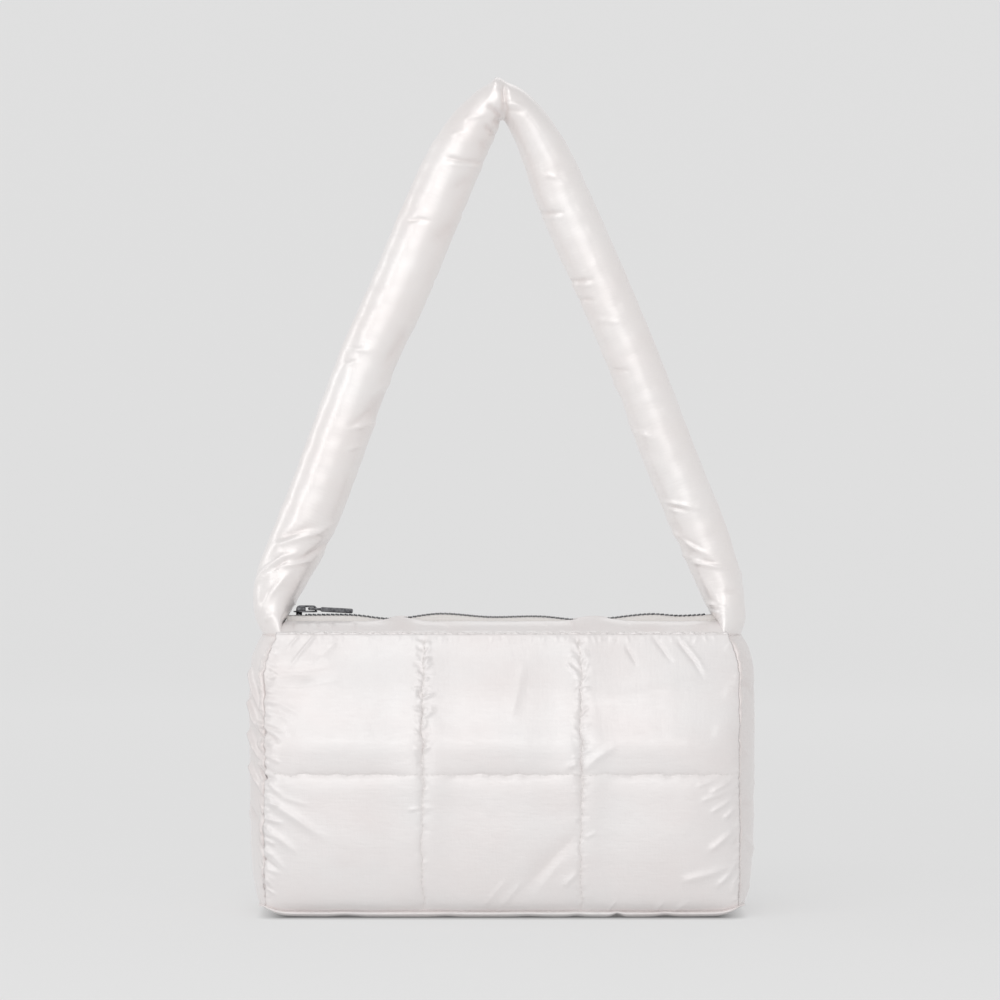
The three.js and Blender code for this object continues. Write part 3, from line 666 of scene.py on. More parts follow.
# grid of a panel in shares of its half width and in heights, even between the seams
def panelGrid(finer=1):
    def split(seams, count):
        parts = [np.linspace(a, b, count * finer + 1)[1:] for a, b in zip(seams, seams[1:])]
        return np.concatenate([seams[:1], *parts])

    across, up = panel["steps"]
    return np.meshgrid(split(panel["columnSeams"], across), split(panel["rowSeams"], up))


# how far points are from the nearest upright seam and the nearest level one
def seamDistance(x, z):
    upright = np.stack([np.abs(x - u0 * panelHalf(z)) for u0 in panel["columnSeams"]]).min(0)
    return upright, np.stack([np.abs(z - z0) for z0 in panel["rowSeams"]]).min(0)


# shapes a blown panel: small lumps softened, fuller close to the seams, grooves filled by
# deep * exp(-(away / reach)^1.7), a belly low in the upper cells, drawn in again towards the topstitching
def plump(cloth, u, z):
    bottom, level, top = panel["rowSeams"]
    half = panelHalf(z)
    seamX, seamZ = seamDistance(u * half, z)
    amount, clear, passes = panel["soften"]
    cloth = soften(cloth, amount * (1 - np.exp(-((np.minimum(seamX, seamZ) / clear) ** 2))), passes)
    sewn = panelFace(u, z, 0 * u)
    out = sewn[..., 1] - cloth[..., 1]
    for (much, reach), away in zip(panel["fuller"], (z - bottom, (1 - np.abs(u)) * half)):
        out = out * (1 + much * np.exp(-away / reach))
    fromColumn = (np.abs(u) - panel["columnSeams"][2]) * half
    ends = np.minimum(z - bottom, top - z)
    grooves = ((panel["rowFill"], z - level, seamX), (panel["columnFill"], fromColumn, ends))
    for (deep, before, after), away, other in grooves:
        reach = np.where(away > 0, after, before)
        out = out + deep * np.exp(-((np.abs(away) / reach) ** 1.7)) * (1 - np.exp(-other / panel["fillFade"]))
    much, middle, wide = panel["belly"]
    out = out + much * np.exp(-(((z - middle) / wide) ** 2)) * (1 - np.exp(-seamX / panel["fillFade"]))
    much, low, high = panel["slump"]
    cloth[..., 1] = sewn[..., 1] - out * (1 - much * easeStep(low, high, z))
    hang, away = panel["hang"], np.abs(z - level)
    down = hang["drop"] * np.exp(-away / hang["reach"]) * (1 - np.exp(-away / hang["seam"]))
    cloth[..., 2] -= down * (1 - np.exp(-seamX / hang["side"])) * np.where(z > level, 1, hang["below"])
    return cloth


# one quilted panel blown out by cloth simulation: slack is larger along the seams that pucker
def quiltedCloth():
    u, z = panelGrid()
    rng = np.random.default_rng(11)
    swell = cellSwell(u, z)
    x = u * panelHalf(z)
    bottom, level, top = panel["rowSeams"]
    share = (z - bottom) / (top - bottom)
    slackUp = panel["slackUp"] + sum(
        much * tableAt(rows, 1, share) * np.exp(-np.abs(x - u0 * panelHalf(z)) / reach)
        for u0, rows, (much, reach) in zip(panel["columnSeams"], panel["puckers"], panel["seamSlack"]))
    slackAcross = panel["slackAcross"] + panel["topSlack"][0] * np.exp(-(top - z) / panel["topSlack"][1])
    wobble = 1 + panel["wobble"][0] * ripple(rng, x, z, panel["wobble"][1])
    high, wavelength = panel["startRipple"]
    start = panelFace(u, z, panel["startCrown"] * swell + high * swell * ripple(rng, x, z, wavelength))
    across, up = panel["steps"]
    pins = np.zeros(u.shape)
    pins[:, ::across] = pins[::up, :] = 1
    pins[1::2, [across, 2 * across]] = 0   # between its stitches an upright quilted seam gives
    pins[up, ::across] = 1
    cut = cutPattern(panelFace(u, z, 0 * u), slackAcross * wobble, slackUp * wobble)
    return plump(settleCloth(start, cut, pins, panel["cloth"]), u, z)


# finishes a panel: finer grid, puckers along its seams and its own folds pushed out along the surface
def finishPanel(cloth, folds, seed):
    fine = refine(cloth)
    u, z = panelGrid(2)
    x = fine[..., 0]
    rng = np.random.default_rng(seed)
    low = panel["rowSeams"][0] + panel["puckerInset"][0]
    high = panel["rowSeams"][-1] - panel["puckerInset"][1]
    puckers = []
    for u0, strength in zip(panel["columnSeams"], panel["puckers"]):
        sides = [side for side in (-1, 1) if abs(u0 - 0.01 * side) < 1]
        for side in sides:
            kind = "edgePucker" if len(sides) == 1 else "quiltPucker"
            look = {**panel[kind], "side": side, "strength": strength,
                    "curve": lambda height: u0 * panelHalf(height)}
            puckers += seamPuckers(rng, (u0 * panelHalf(low), low), (u0 * panelHalf(high), high), look)
    puckers += seamPuckers(rng, (-panel["topHalf"], high), (panel["topHalf"], high), panel["topPucker"])
    seamX, seamZ = seamDistance(x, z)
    nearSeam = np.minimum(seamX, seamZ)
    height = sum(foldHeight(some, x, z) * (1 - np.exp(-nearSeam / clear))
                 for some, clear in zip((folds, puckers), panel["foldClear"]))
    fine = fine + gridNormals(fine) * height[..., None]
    inside = (np.abs(u) < 0.99) & (z > low + 2) & (z < high - 2)
    fromLevel = np.abs(z - panel["rowSeams"][1])
    (aside, wavelength), (rise, longer) = panel["sewing"]
    fine[..., 0] += aside * ripple(rng, 0 * z, z, wavelength) * np.exp(-seamX / panel["sewingReach"]) * inside
    fine[..., 2] += rise * ripple(rng, x, 0 * x, longer) * np.exp(-fromLevel / panel["sewingReach"]) * inside
    # painted shade along the seams and down in the folds
    upright, across, inFold, beside = panel["crease"]
    crease = upright * np.exp(-seamX / beside) + across * np.exp(-fromLevel / beside)
    return fine, crease + inFold * np.clip(-height, 0, 1)


# closes a sheet with a coarser inner wall and puts it in its place by turning or mirroring it
def sewnPiece(name, outer, inner, uv, finish, crease, flip):
    inner = inner[::bag["innerStep"], ::bag["innerStep"]]
    points, faceSets = closedSheet(outer, inner, uv, bag["innerStep"])
    if np.prod(flip) < 0:   # a mirrored sheet has its faces turned round again
        faceSets = [(corners[:, ::-1], uvs[:, ::-1]) for corners, uvs in faceSets]
    # the hidden inner faces get a little painted shade
    if crease is not None:
        hidden = np.full(inner.shape[0] * inner.shape[1], bag["innerPaintedShade"])
        crease = np.concatenate([np.clip(crease, 0, 1).ravel(), hidden])
    return addPiece(name, points * np.array(flip), faceSets, finish, crease)


# a panel's inner wall lies straight behind its seams
def makePanel(name, outer, crease, flip):
    inner = panelFace(*panelGrid(2), -bag["wall"])
    inner[..., 0] *= 1 - bag["wall"] / panel["profile"][1][2]
    uv = np.stack([outer[..., 0] + 200, outer[..., 2]], axis=-1)
    return sewnPiece(name, outer, inner, uv, pearlSatin, crease, flip)


# puts a piece on the body it rides and hides the solid it replaces
def settle(piece, node, body="bag"):
    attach(piece, body)
    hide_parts(node)


asSewn, halfTurn, mirrored = [1, 1, 1], [-1, -1, 1], [1, -1, 1]   # signs that put a piece in its place
quilt = quiltedCloth()
frontOuter, frontPaintedShade = finishPanel(quilt, panel["folds"], 21)
settle(makePanel("quiltedFront", frontOuter, frontPaintedShade, asSewn), "front_panel")
backOuter, backPaintedShade = finishPanel(quilt, [], 22)
settle(makePanel("quiltedBack", backOuter, backPaintedShade, halfTurn), "back_panel")
print("quilted panels done")

gusset = {
    "bulge": [(4.8, 4.6), (8, 6.2), (14, 8.6), (22, 9.6), (40, 10.8), (90, 12), (118, 12), (137, 12), (146, 11.3),
              (152, 9.4)],
    "power": 2.4,
    "top": 151.2,
    "steps": (60, 100),
    "drop": 2.4,
    "startShare": 0.8,
    "slackAcross": 0.012,
    "slackUp": 0.045,
    "cloth": {"frames": 22, "quality": 5, "bending": 0.06, "pressure": 5.0, "cap": 4.5},
    "leftFolds": [  # seen from the front the long folds fall towards the front seam
        ([(-16, 132), (-26, 122), (-37, 111)], 1.7, 2.8),
        ([(-18, 116), (-28, 109), (-42, 97)], 1.9, 3.2),
        ([(-20, 99), (-32, 92), (-46, 83)], 1.8, 3.0),
        ([(-22, 81), (-34, 75), (-47, 67)], 1.6, 2.6),
        ([(-6, 60), (-30, 54), (-46, 52)], 2.0, -1.2),
        ([(16, 118), (30, 106)], 2.2, 1.2),
        ([(10, 70), (34, 52)], 2.2, 1.0),
    ],
    "rightFolds": [
        ([(-40, 128), (-20, 122), (6, 124)], 2.6, -1.1),
        ([(-46, 62), (-24, 60), (10, 64)], 2.2, -0.8),
        ([(-46, 44), (-22, 36), (4, 34)], 2.6, 1.2),
        ([(-45, 92), (-30, 86)], 2.0, 0.9),
        ([(12, 96), (36, 84)], 2.2, 1.1),
        ([(10, 40), (38, 26)], 2.2, 0.9),
    ],
    "leftPuckers": [(0, 0.5), (0.2, 0.9), (0.6, 1), (0.9, 1), (1, 0.6)],
    "rightPuckers": [(0, 0.4), (0.3, 0.35), (0.6, 0.3), (0.75, 0.6), (0.9, 0.9), (1, 0.5)],
    "pucker": {"pitch": (1.7, 3.6), "reach": (4, 13), "rise": (0.7, 1.7), "spread": (0.8, 1.5), "slant": 38},
    "puckerFrom": 10,
    "startRipple": (0.2, 9),
    "wobble": (0.3, 26),
    "seamSlack": (0.04, 5),     # extra cloth along the seams: share, steepness
    "foldClear": (2.5, 0.45),   # folds and puckers fade out this close to a seam
    "crease": (0.3, 0.4, 0.3, 0.9),   # painted shade all over, at the seams and in the folds, stretch at a seam
}


# gusset on the +X side: out past its seams by bulge(z) * (1 - |u|^p), with u from -1 to 1 across its depth
def gussetFace(u, z, share, wander):
    out = share * tableAt(gusset["bulge"], 1, z) * (1 - np.abs(u) ** gusset["power"])
    out = out + wander * seamWander(z) * np.abs(u) ** 8
    bottom = panel["rowSeams"][0] + bag["cornerRise"]
    drop = gusset["drop"] * (1 - (z - bottom) / (gusset["top"] - bottom)) ** 6
    half, depth = panelHalf(z) + bag["seamShift"], panelDepth(z) - bag["seamShift"]
    return np.stack([half + out, u * depth, z - drop], axis=-1)


# grid of a gusset from seam to seam, from the turned-up corner to its top
def gussetGrid(finer=1):
    bottom = panel["rowSeams"][0] + bag["cornerRise"]
    across, up = (finer * count + 1 for count in gusset["steps"])
    return np.meshgrid(np.linspace(-1, 1, across), np.linspace(bottom, gusset["top"], up))


# cloth of a gusset, pinned round its seams and blown out, then folds and seam puckers along the surface
def makeGusset(name, folds, strength, turned, seed):
    u, z = gussetGrid()
    rng = np.random.default_rng(seed)
    wander = panel["leftWander"] if turned else 1
    cloth = arc = gussetFace(u, z, 1, wander)
    depth = gussetFace(u, z, 0, wander)[..., 1]
    high, wavelength = gusset["startRipple"]
    ruffle = high * (1 - u**2) * ripple(rng, depth, z, wavelength)
    start = gussetFace(u, z, gusset["startShare"], wander) + ruffle[..., None] * [1, 0, 0]
    pins = np.zeros(u.shape)
    pins[[0, -1], :] = pins[:, [0, -1]] = 1
    wobble = 1 + gusset["wobble"][0] * ripple(rng, depth, z, gusset["wobble"][1])
    much, steep = gusset["seamSlack"]
    slackUp = (gusset["slackUp"] + much * np.exp(-(1 - np.abs(u)) * steep)) * wobble
    cut = cutPattern(arc, gusset["slackAcross"] * wobble, slackUp)
    cloth = settleCloth(start, cut, pins, gusset["cloth"])
    fine = refine(cloth)
    u, z = gussetGrid(2)
    y = fine[..., 1] * (-1 if turned else 1)   # front is towards negative in the fold tables
    low, high = gusset["puckerFrom"], gusset["top"] - 2
    puckers = []
    for side in (-1, 1):
        look = {**gusset["pucker"], "side": side, "strength": strength,
                "curve": lambda height: side * panelDepth(height)}
        puckers += seamPuckers(rng, (side * panelDepth(low), low), (side * panelDepth(high), high), look)
    nearSeam = np.minimum(panelDepth(z) - np.abs(y), np.minimum(z - z[0, 0], gusset["top"] - z))
    height = sum(foldHeight(some, y, z) * (1 - np.exp(-nearSeam / clear))
                 for some, clear in zip((folds, puckers), gusset["foldClear"]))
    fine = fine + gridNormals(fine) * height[..., None]
    wall, shift = bag["wall"], bag["seamShift"]
    inner = np.stack([panelHalf(z) - wall + shift, u * (panelDepth(z) - wall - shift), z], axis=-1)
    uv = np.stack([fine[..., 1] + 200, fine[..., 2] + 300], axis=-1)
    # painted shade all over, darker at the seams and in the folds
    plain, atSeam, inFold, beside = gusset["crease"]
    crease = plain + atSeam * np.exp(-nearSeam / beside) + inFold * np.clip(-height, 0, 1)
    return sewnPiece(name, fine, inner, uv, pearlSatin, crease, halfTurn if turned else asSewn)


rightGusset = makeGusset("gussetRight", gusset["rightFolds"], gusset["rightPuckers"], False, 31)
settle(rightGusset, "side_panel_right")
leftGusset = makeGusset("gussetLeft", gusset["leftFolds"], gusset["leftPuckers"], True, 32)
settle(leftGusset, "side_panel_left")
print("gussets done")

base = {
    "halfLength": 130.6, "halfDepth": 48.0, "corner": 8.0, "thick": 4.5, "points": 600,
    # rounded edge, from the underside out and back over the top: inset from the outline, height
    "edge": [(46, 0), (32, 0), (18, 0), (8, 0), (4.6, 0.1), (2.6, 0.45), (0.9, 1.0), (-0.3, 1.7), (-0.8, 2.4),
             (-0.3, 3.2), (1.2, 3.7), (3, 3.9), (6, 4.2), (18, 4.5), (32, 4.5), (46, 4.5)],
    "underLift": [(1.6, 20.0), (0.8, 70.0)],   # the underside turns up more at each end: rise, reach
    # x, rise, spread of small tucks under the front edge
    "tucks": [(62, 1.9, 2.6), (88, 0.9, 5), (40, 0.7, 4), (14, 0.5, 7), (-30, 0.5, 6), (-84, 0.8, 7)],
    "tuckDepth": 40,
    "roll": (2.6, 1.8, 2.0),            # the edge waves round this height, over this spread and this inset
    "waves": [(0.22, 16), (0.12, 4)],   # by, wavelength
    "waveMost": 0.15,
    "crease": (0.35, 3.7, 0.4),         # painted shade along the seam on top: strength, height, spread
}


# outline of the base: a rounded rectangle walked once round at equal steps, with the inset taken off all sides
def baseOutline(inset):
    radius = np.maximum(base["corner"] - inset / 2, 1)
    straightX, straightY = base["halfLength"] - inset - radius, base["halfDepth"] - inset - radius
    straightY = np.maximum(straightY, 0.4)
    arc = radius * np.pi / 2
    around = 2 * np.pi * radius + 4 * (straightX + straightY)
    s = np.arange(base["points"]) / base["points"] * around
    lengths = [straightY, arc, 2 * straightX, arc, 2 * straightY, arc, 2 * straightX, arc, straightY]
    ends = np.cumsum(lengths)
    k = np.minimum(np.searchsorted(ends, s, side="right"), 8)
    t = (s - (ends - lengths)[k])[:, None]
    width, depth = straightX + radius, straightY + radius
    # straight sides start at these points, and between them are the middles of the corner arcs
    start = np.array([
        (width, 0), (straightX, straightY), (straightX, depth), (-straightX, straightY), (-width, straightY),
        (-straightX, -straightY), (-straightX, -depth), (straightX, -straightY), (width, -straightY)])
    heading = np.array([(0, 1), (0, 0), (-1, 0), (0, 0), (0, -1), (0, 0), (1, 0), (0, 0), (0, 1)])
    turn = t / radius + (k // 2)[:, None] * np.pi / 2
    bend = (k % 2)[:, None] * radius * np.concatenate([np.cos(turn), np.sin(turn)], axis=1)
    return (start[k] + t * heading[k] + bend).T


# padded base: the outline carried over its rounded edge, waving at the roll, closed across both faces
def makeBase():
    rng = np.random.default_rng(41)
    rings = []
    for inset, height in base["edge"]:
        x, y = baseOutline(inset)
        low = np.clip(1 - height / base["thick"], 0, 1)
        turned = sum(up * np.clip((np.abs(x) - base["halfLength"] + reach) / reach, 0, 1) ** 2
                     for up, reach in base["underLift"])
        tucked = sum(up * np.exp(-(((x - at) / wide) ** 2)) for at, up, wide in base["tucks"])
        tucked = tucked * (y < -base["tuckDepth"])
        rings.append(np.stack([x, y, height + cornerLift(x) + low * (turned + tucked)], axis=-1))
    rings = refineAlong(np.stack(rings), 0)
    rollHeight, rollSpread, rollInset = base["roll"]
    inset = refineAlong(np.array([inset for inset, height in base["edge"]], float), 0)
    high = rings[..., 2] - cornerLift(rings[..., 0])
    roll = np.exp(-((high - rollHeight) / rollSpread) ** 2) * np.exp(-(inset / rollInset) ** 2)[:, None]
    wave = sum(by * ripple(rng, rings[..., 0], rings[..., 1], wavelength) for by, wavelength in base["waves"])
    ahead = np.roll(rings, -1, axis=1) - np.roll(rings, 1, axis=1)
    out = np.stack([ahead[..., 1], -ahead[..., 0]], axis=-1)
    out /= np.linalg.norm(out, axis=2, keepdims=True)
    rings[..., :2] += out * (roll * np.minimum(wave, base["waveMost"]))[..., None]
    rows, count = rings.shape[:2]
    uv = np.stack(np.meshgrid(np.arange(count + 1) * 1.2, np.arange(rows) * 1.5 + 500), axis=-1)
    rowAt, columnAt = gridFaces(rows, count, True)
    faceSets = [(rowAt * count + columnAt % count, uv[rowAt, columnAt])]
    i = np.arange(1, count // 2 - 1)
    for first, flip in ((0, True), ((rows - 1) * count, False)):
        quads = np.stack([i, i + 1, count - i - 1, count - i], axis=1)
        ends = np.array([[0, 1, count - 1], [count // 2 - 1, count // 2, count // 2 + 1]])
        for corners in (quads, ends):
            corners = corners[:, ::-1] if flip else corners
            faceSets.append((corners + first, rings.reshape(-1, 3)[corners + first][..., :2] + 700))
    # painted shade along the seam on top of the roll
    high = rings[..., 2] - cornerLift(rings[..., 0])
    strength, middle, wide = base["crease"]
    crease = strength * np.exp(-(((high - middle) / wide) ** 2))
    return addPiece("paddedBase", rings, faceSets, pearlSatin, crease)


settle(makeBase(), "base_panel")
print("base done")

band = {
    "edgeDepth": 8.5, "edgeHeight": 158.7, "edgeHalf": 118.6, "thick": 2.4, "puff": 1.4,
    "roll": 1.2, "rollFrom": 0.86, "steps": (240, 28),
    "width": 20,                                 # measured over the band, for its folds and cloth
    "swells": [(-56, 2.4, 9), (51, 2.4, 12)],    # x, rise, spread where the edge swells over the teeth
    "lap": (-0.6, 1.3),                          # the lower edge is sewn into the panel, this far back and down
    "seamRoll": (1.25, 1.5, 1.3),                # the topstitched edge stands up: rise, spread, place
    "rollLumps": (0.4, 4.5),                     # and is lumpy: share, wavelength
    "creases": [(-114.7, 0.7), (-107, 0.4), (-101.6, 0.7), (-93.5, 0.6), (-81.5, 0.6), (-30, 0.3), (24, 0.5),
                (38, 0.6), (70, 0.3)],           # x, depth
    "creaseLine": (15, 3, 1.5, 1.1),             # from and to along the band's width, lean, spread
    "waves": (0.22, 18, 0.4),                    # by, wavelength, drawn out over the width
    "puckerLine": (118, 0.6),                    # half length, distance from the edge
    "foldClear": 0.6,
    "pucker": {"pitch": (2.0, 5.0), "reach": (2, 8), "rise": (0.1, 0.4), "spread": (0.6, 1.1), "slant": 0,
               "side": 1, "strength": [(0, 0.9), (0.5, 0.7), (1, 0.9)]},
    "crease": (0.15, 0.4, 0.8),                  # painted shade at the seam and in the folds, stretch at the seam
}
zipLine = [
    (-122, 161.8), (-106, 161.8), (-82, 161.7), (-60, 159.6), (-34, 162.4), (-7, 160.6), (21, 160.9), (46, 158.9),
    (81, 162.2), (98, 161.3), (120, 162.6),
]


# height of the closed zip, which waves a little
def zipHeight(x):
    return tableAt(zipLine, 1, x)


# plain band: from the topstitching it rises and curves over to the zip, then rolls under along a quarter circle
def makeBand(name, flip, seed):
    rng = np.random.default_rng(seed)
    top = panel["rowSeams"][-1]
    startDepth, startHalf, startZ = panelDepth(top) + band["lap"][0], panelHalf(top), top - band["lap"][1]
    u, w = np.meshgrid(np.linspace(-1, 1, band["steps"][0] + 1), np.linspace(0, 1, band["steps"][1] + 1))

    def lie(u, v, sink, edge):
        x = u * (startHalf + (band["edgeHalf"] - startHalf) * v)
        swell = sum(rise * np.exp(-(((x - at) / wide) ** 2)) for at, rise, wide in band["swells"])
        depth = (startDepth - sink * bag["wall"]) * (1 - v) + edge * v
        rise = v * (band["edgeHeight"] - startZ) + band["puff"] * np.sin(np.pi * v) + swell * v**2
        return np.stack([x, -depth, startZ + rise - sink * band["thick"] * np.minimum(1, 4 * v)], axis=-1)

    flat = np.minimum(w / band["rollFrom"], 1)
    outer = lie(u, flat, 0, band["edgeDepth"] + band["roll"])
    turn = np.clip((w - band["rollFrom"]) / (1 - band["rollFrom"]), 0, 1) * np.pi / 2
    outer[..., 1] += band["roll"] * np.sin(turn)
    outer[..., 2] -= band["roll"] * (1 - np.cos(turn))
    x, along = outer[..., 0], w * band["width"]
    half, low = band["puckerLine"]
    height = foldHeight(seamPuckers(rng, (-half, low), (half, low), band["pucker"]), x, along)
    rise, wide, middle = band["seamRoll"]
    lumpy, wavelength = band["rollLumps"]
    roll = rise * np.exp(-(((along - middle) / wide) ** 2))
    height += roll * (1 + lumpy * ripple(rng, x, along, wavelength))
    first, last, lean, wide = band["creaseLine"]
    creases = [([(at, first), (at + lean, last)], wide, -deep) for at, deep in band["creases"]]
    height += foldHeight(creases, x, along)
    high, wavelength, drawnOut = band["waves"]
    height += high * ripple(rng, x, along * drawnOut, wavelength) * np.sin(np.pi * flat)
    height *= 1 - np.exp(-along / band["foldClear"])
    outer += gridNormals(outer) * height[..., None]
    inner = lie(u, w, 1, band["edgeDepth"])
    uv = np.stack([x + 200, along + 600], axis=-1)
    # painted shade at the topstitching and in the folds
    atSeam, inFold, beside = band["crease"]
    crease = atSeam * np.exp(-along / beside) + inFold * np.clip(-height, 0, 1)
    return sewnPiece(name, outer, inner, uv, pearlSatin, crease, flip), outer


frontBand, frontBandFace = makeBand("bandFront", asSewn, 51)
settle(frontBand, "top_band_front")
backBand, backBandFace = makeBand("bandBack", mirrored, 52)   # its swells lie where the front's do
settle(backBand, "top_band_back")
print("bands done")

strap = {
    "sections": [  # centre x and z, lean of the inner side below level, half thickness, half depth
        (-127.9, 149, 20, 3.2, 24), (-128.2, 158.5, 14, 8, 22.5), (-126, 168.5, 12, 11.8, 19.5),
        (-120.5, 184, 19, 14.8, 17.4), (-112, 202, 22, 16.3, 16.8), (-101, 228, 21, 16.9, 16.8),
        (-86, 269, 20.5, 16.8, 16.8), (-72.6, 305, 22, 16.6, 16.8), (-57.5, 338, 23, 17.1, 16.8),
        (-40, 380, 23, 16.9, 17), (-24.5, 415, 26, 15.8, 17.4), (-10, 437.2, 52, 12.7, 18),
        (0, 444.6, 90, 11.1, 18), (11, 436.8, 128, 11.2, 17.4), (22.5, 418, 154, 13.2, 16.6),
        (34, 390, 156, 15.2, 16), (58, 335.5, 157, 15.3, 15.8), (76, 292, 159, 15.2, 15.8),
        (93, 247, 158, 15.1, 15.8), (110, 206, 161, 14.6, 16.4), (119.5, 180, 165, 12.8, 18),
        (124, 165.5, 168, 10.2, 20.5), (127.4, 157, 166, 7, 23), (127.6, 149, 160, 3.4, 24),
    ],
    "rootCurl": (7.5, 151.5, 174),   # the sewn ends curl round the top of the gusset: by, from and up to a height
    "rootFade": (149, 155),          # no folds below these heights, where it is sewn in
    "steps": (56, 384),              # cloth points round and along
    "girth": 105, "radius": 17,
    "startShare": 0.965,
    "startRipple": (0.2, 12),
    "cutShares": (0.6, 0.4),         # the cut is as long as this much of a row's mean and longest step
    "slackAlong": 0.028,
    "slackRound": 0.012,
    "pins": {"loose": 0.12, "held": 0.5, "peak": 34, "root": 45},   # held more firmly near the peak and the roots
    "soften": (0.5, 8),
    "facing": (-0.35, 0.15),         # the folds fade out where the tube turns away
    "backFolds": (16, 0.7),          # the back repeats the folds from this one on, turned round, at this share
    # painted shade down in the folds
    "crease": 0.35,
    "cloth": {"frames": 20, "quality": 4, "bending": 0.1, "pressure": 6.0, "cap": 3.0, "hold": 0.35},
    "folds": [
        ([(-3, 450), (-1.6, 457.5)], 3.0, 2.6),
        ([(-8.7, 428.9), (-1.6, 424.8)], 1.3, -1.2),
        ([(-30.0, 411.7), (-22.4, 410.4), (-13.1, 409.8), (-6.0, 412.3)], 1.2, -1.0),
        ([(-28.4, 408.5), (-17.5, 407.4), (-7.6, 409.0)], 1.4, 0.6),
        ([(-20.2, 433.3), (-7.6, 435.2)], 1.1, 0.6),
        ([(-26.8, 425.1), (-19.1, 426.2)], 1.1, 0.5),
        ([(-12.0, 419.9), (-4.4, 417.2)], 2.2, -0.8),
        ([(-51.3, 377.6), (-44.8, 378.4), (-36.6, 376.8)], 1.0, -0.6),
        ([(-25.1, 395.4), (-15.3, 402.5)], 3.0, -0.8),
        ([(-36.0, 367.5), (-22.4, 379.0)], 3.5, -0.8),
        ([(0.8, 452.1), (1.4, 441.2), (1.6, 431.4)], 1.5, -3.0),
        ([(-7.6, 440.1), (0.5, 434.9)], 1.3, -1.5),
        ([(-4.4, 431.9), (1.6, 434.1)], 1.2, -0.9),
        ([(-2.2, 454.9), (-8.2, 442.3)], 1.6, 0.8),
        ([(-0.5, 455.4), (5.5, 446.1)], 1.5, 0.9),
        ([(1.9, 441.5), (7.1, 441.2), (12.6, 439.0)], 1.5, 1.1),
        ([(3.3, 437.7), (13.1, 436.8)], 1.2, -0.6),
        ([(19.1, 382.8), (26.2, 382.0), (34.4, 381.7)], 1.1, -1.0),
        ([(20.7, 380.1), (34.9, 379.5)], 1.3, 0.5),
        ([(24.0, 402.5), (34.4, 400.5)], 1.2, 0.5),
        ([(36.0, 345.7), (42.6, 344.8), (50.8, 345.4)], 1.1, -1.1),
        ([(38.2, 342.9), (51.9, 342.4)], 1.3, 0.5),
        ([(40.4, 335.3), (52.4, 334.2)], 1.0, -0.8),
        ([(52.4, 323.3), (67.2, 321.6)], 1.6, 0.4),
        ([(61.2, 296.0), (71.0, 295.7)], 1.2, -0.5),
        ([(72.1, 262.7), (84.1, 257.8)], 1.6, 0.6),
        ([(-53.5, 315.6), (-59.0, 305.8), (-65.5, 296.0)], 2.5, -0.9),
        ([(-55.1, 300.9), (-61.2, 292.7)], 1.4, -0.7),
        ([(-59.0, 290.5), (-64.4, 287.2), (-71.0, 281.2)], 1.5, 0.8),
        ([(-62.2, 282.3), (-67.7, 275.2), (-74.3, 268.1)], 4.5, -1.3),
        ([(-69.3, 267.3), (-77.5, 264.9), (-85.7, 262.9)], 1.3, 0.9),
        ([(-72.1, 273.6), (-84.1, 263.8)], 1.8, -0.7),
        ([(-77.3, 254.8), (-86.3, 251.8)], 1.2, 0.6),
        ([(-81.9, 307.4), (-70.4, 306.4)], 1.5, 0.6),
        ([(-86.3, 298.7), (-77.0, 301.4)], 1.3, 0.6),
        ([(-123.4, 200.4), (-112.5, 204.0), (-99.9, 207.5), (-86.8, 215.2)], 1.7, 1.4),
        ([(-120.7, 203.7), (-107.0, 209.2), (-98.3, 210.3)], 2.6, -1.0),
        ([(-134.6, 179.1), (-131.0, 185.1), (-126.7, 189.2), (-119.6, 194.4), (-109.2, 196.6)], 1.3, 1.5),
        ([(-124.5, 187.3), (-114.7, 194.2)], 1.0, -0.8),
        ([(-90.6, 204.3), (-99.9, 198.2), (-108.1, 193.3), (-116.8, 191.1)], 1.7, -1.5),
        ([(-106.5, 191.7), (-115.2, 189.5), (-122.9, 189.2)], 1.1, 1.0),
        ([(-130.8, 164.9), (-126.7, 173.1), (-119.6, 181.6), (-111.9, 188.4)], 2.0, 1.2),
        ([(-129.4, 159.5), (-123.9, 163.0)], 1.3, 0.7),
        ([(-131.0, 168.8), (-127.8, 175.9)], 1.4, -0.6),
        ([(90.1, 223.9), (99.9, 222.0), (110.3, 219.3)], 1.0, 1.0),
        ([(91.7, 221.5), (102.6, 219.0)], 0.8, -0.9),
        ([(90.6, 220.6), (98.3, 217.6)], 1.0, 0.6),
        ([(93.9, 207.5), (101.6, 201.5), (108.1, 197.2), (116.8, 193.3)], 1.3, 1.1),
        ([(98.3, 204.3), (110.8, 197.7)], 1.0, -0.9),
        ([(98.8, 195.0), (110.8, 189.5)], 1.2, 0.7),
        ([(104.3, 190.9), (114.7, 189.0), (124.5, 187.1)], 0.9, 1.1),
        ([(109.7, 192.0), (119.0, 190.1)], 0.9, -0.9),
        ([(113.0, 168.2), (123.4, 165.8)], 1.1, 0.8),
        ([(114.7, 163.8), (123.4, 162.8)], 1.1, 0.6),
        ([(122.3, 174.8), (129.9, 175.3)], 1.2, -0.6),
        ([(108.1, 184.1), (114.7, 171.5)], 2.2, 0.6),
    ],
}


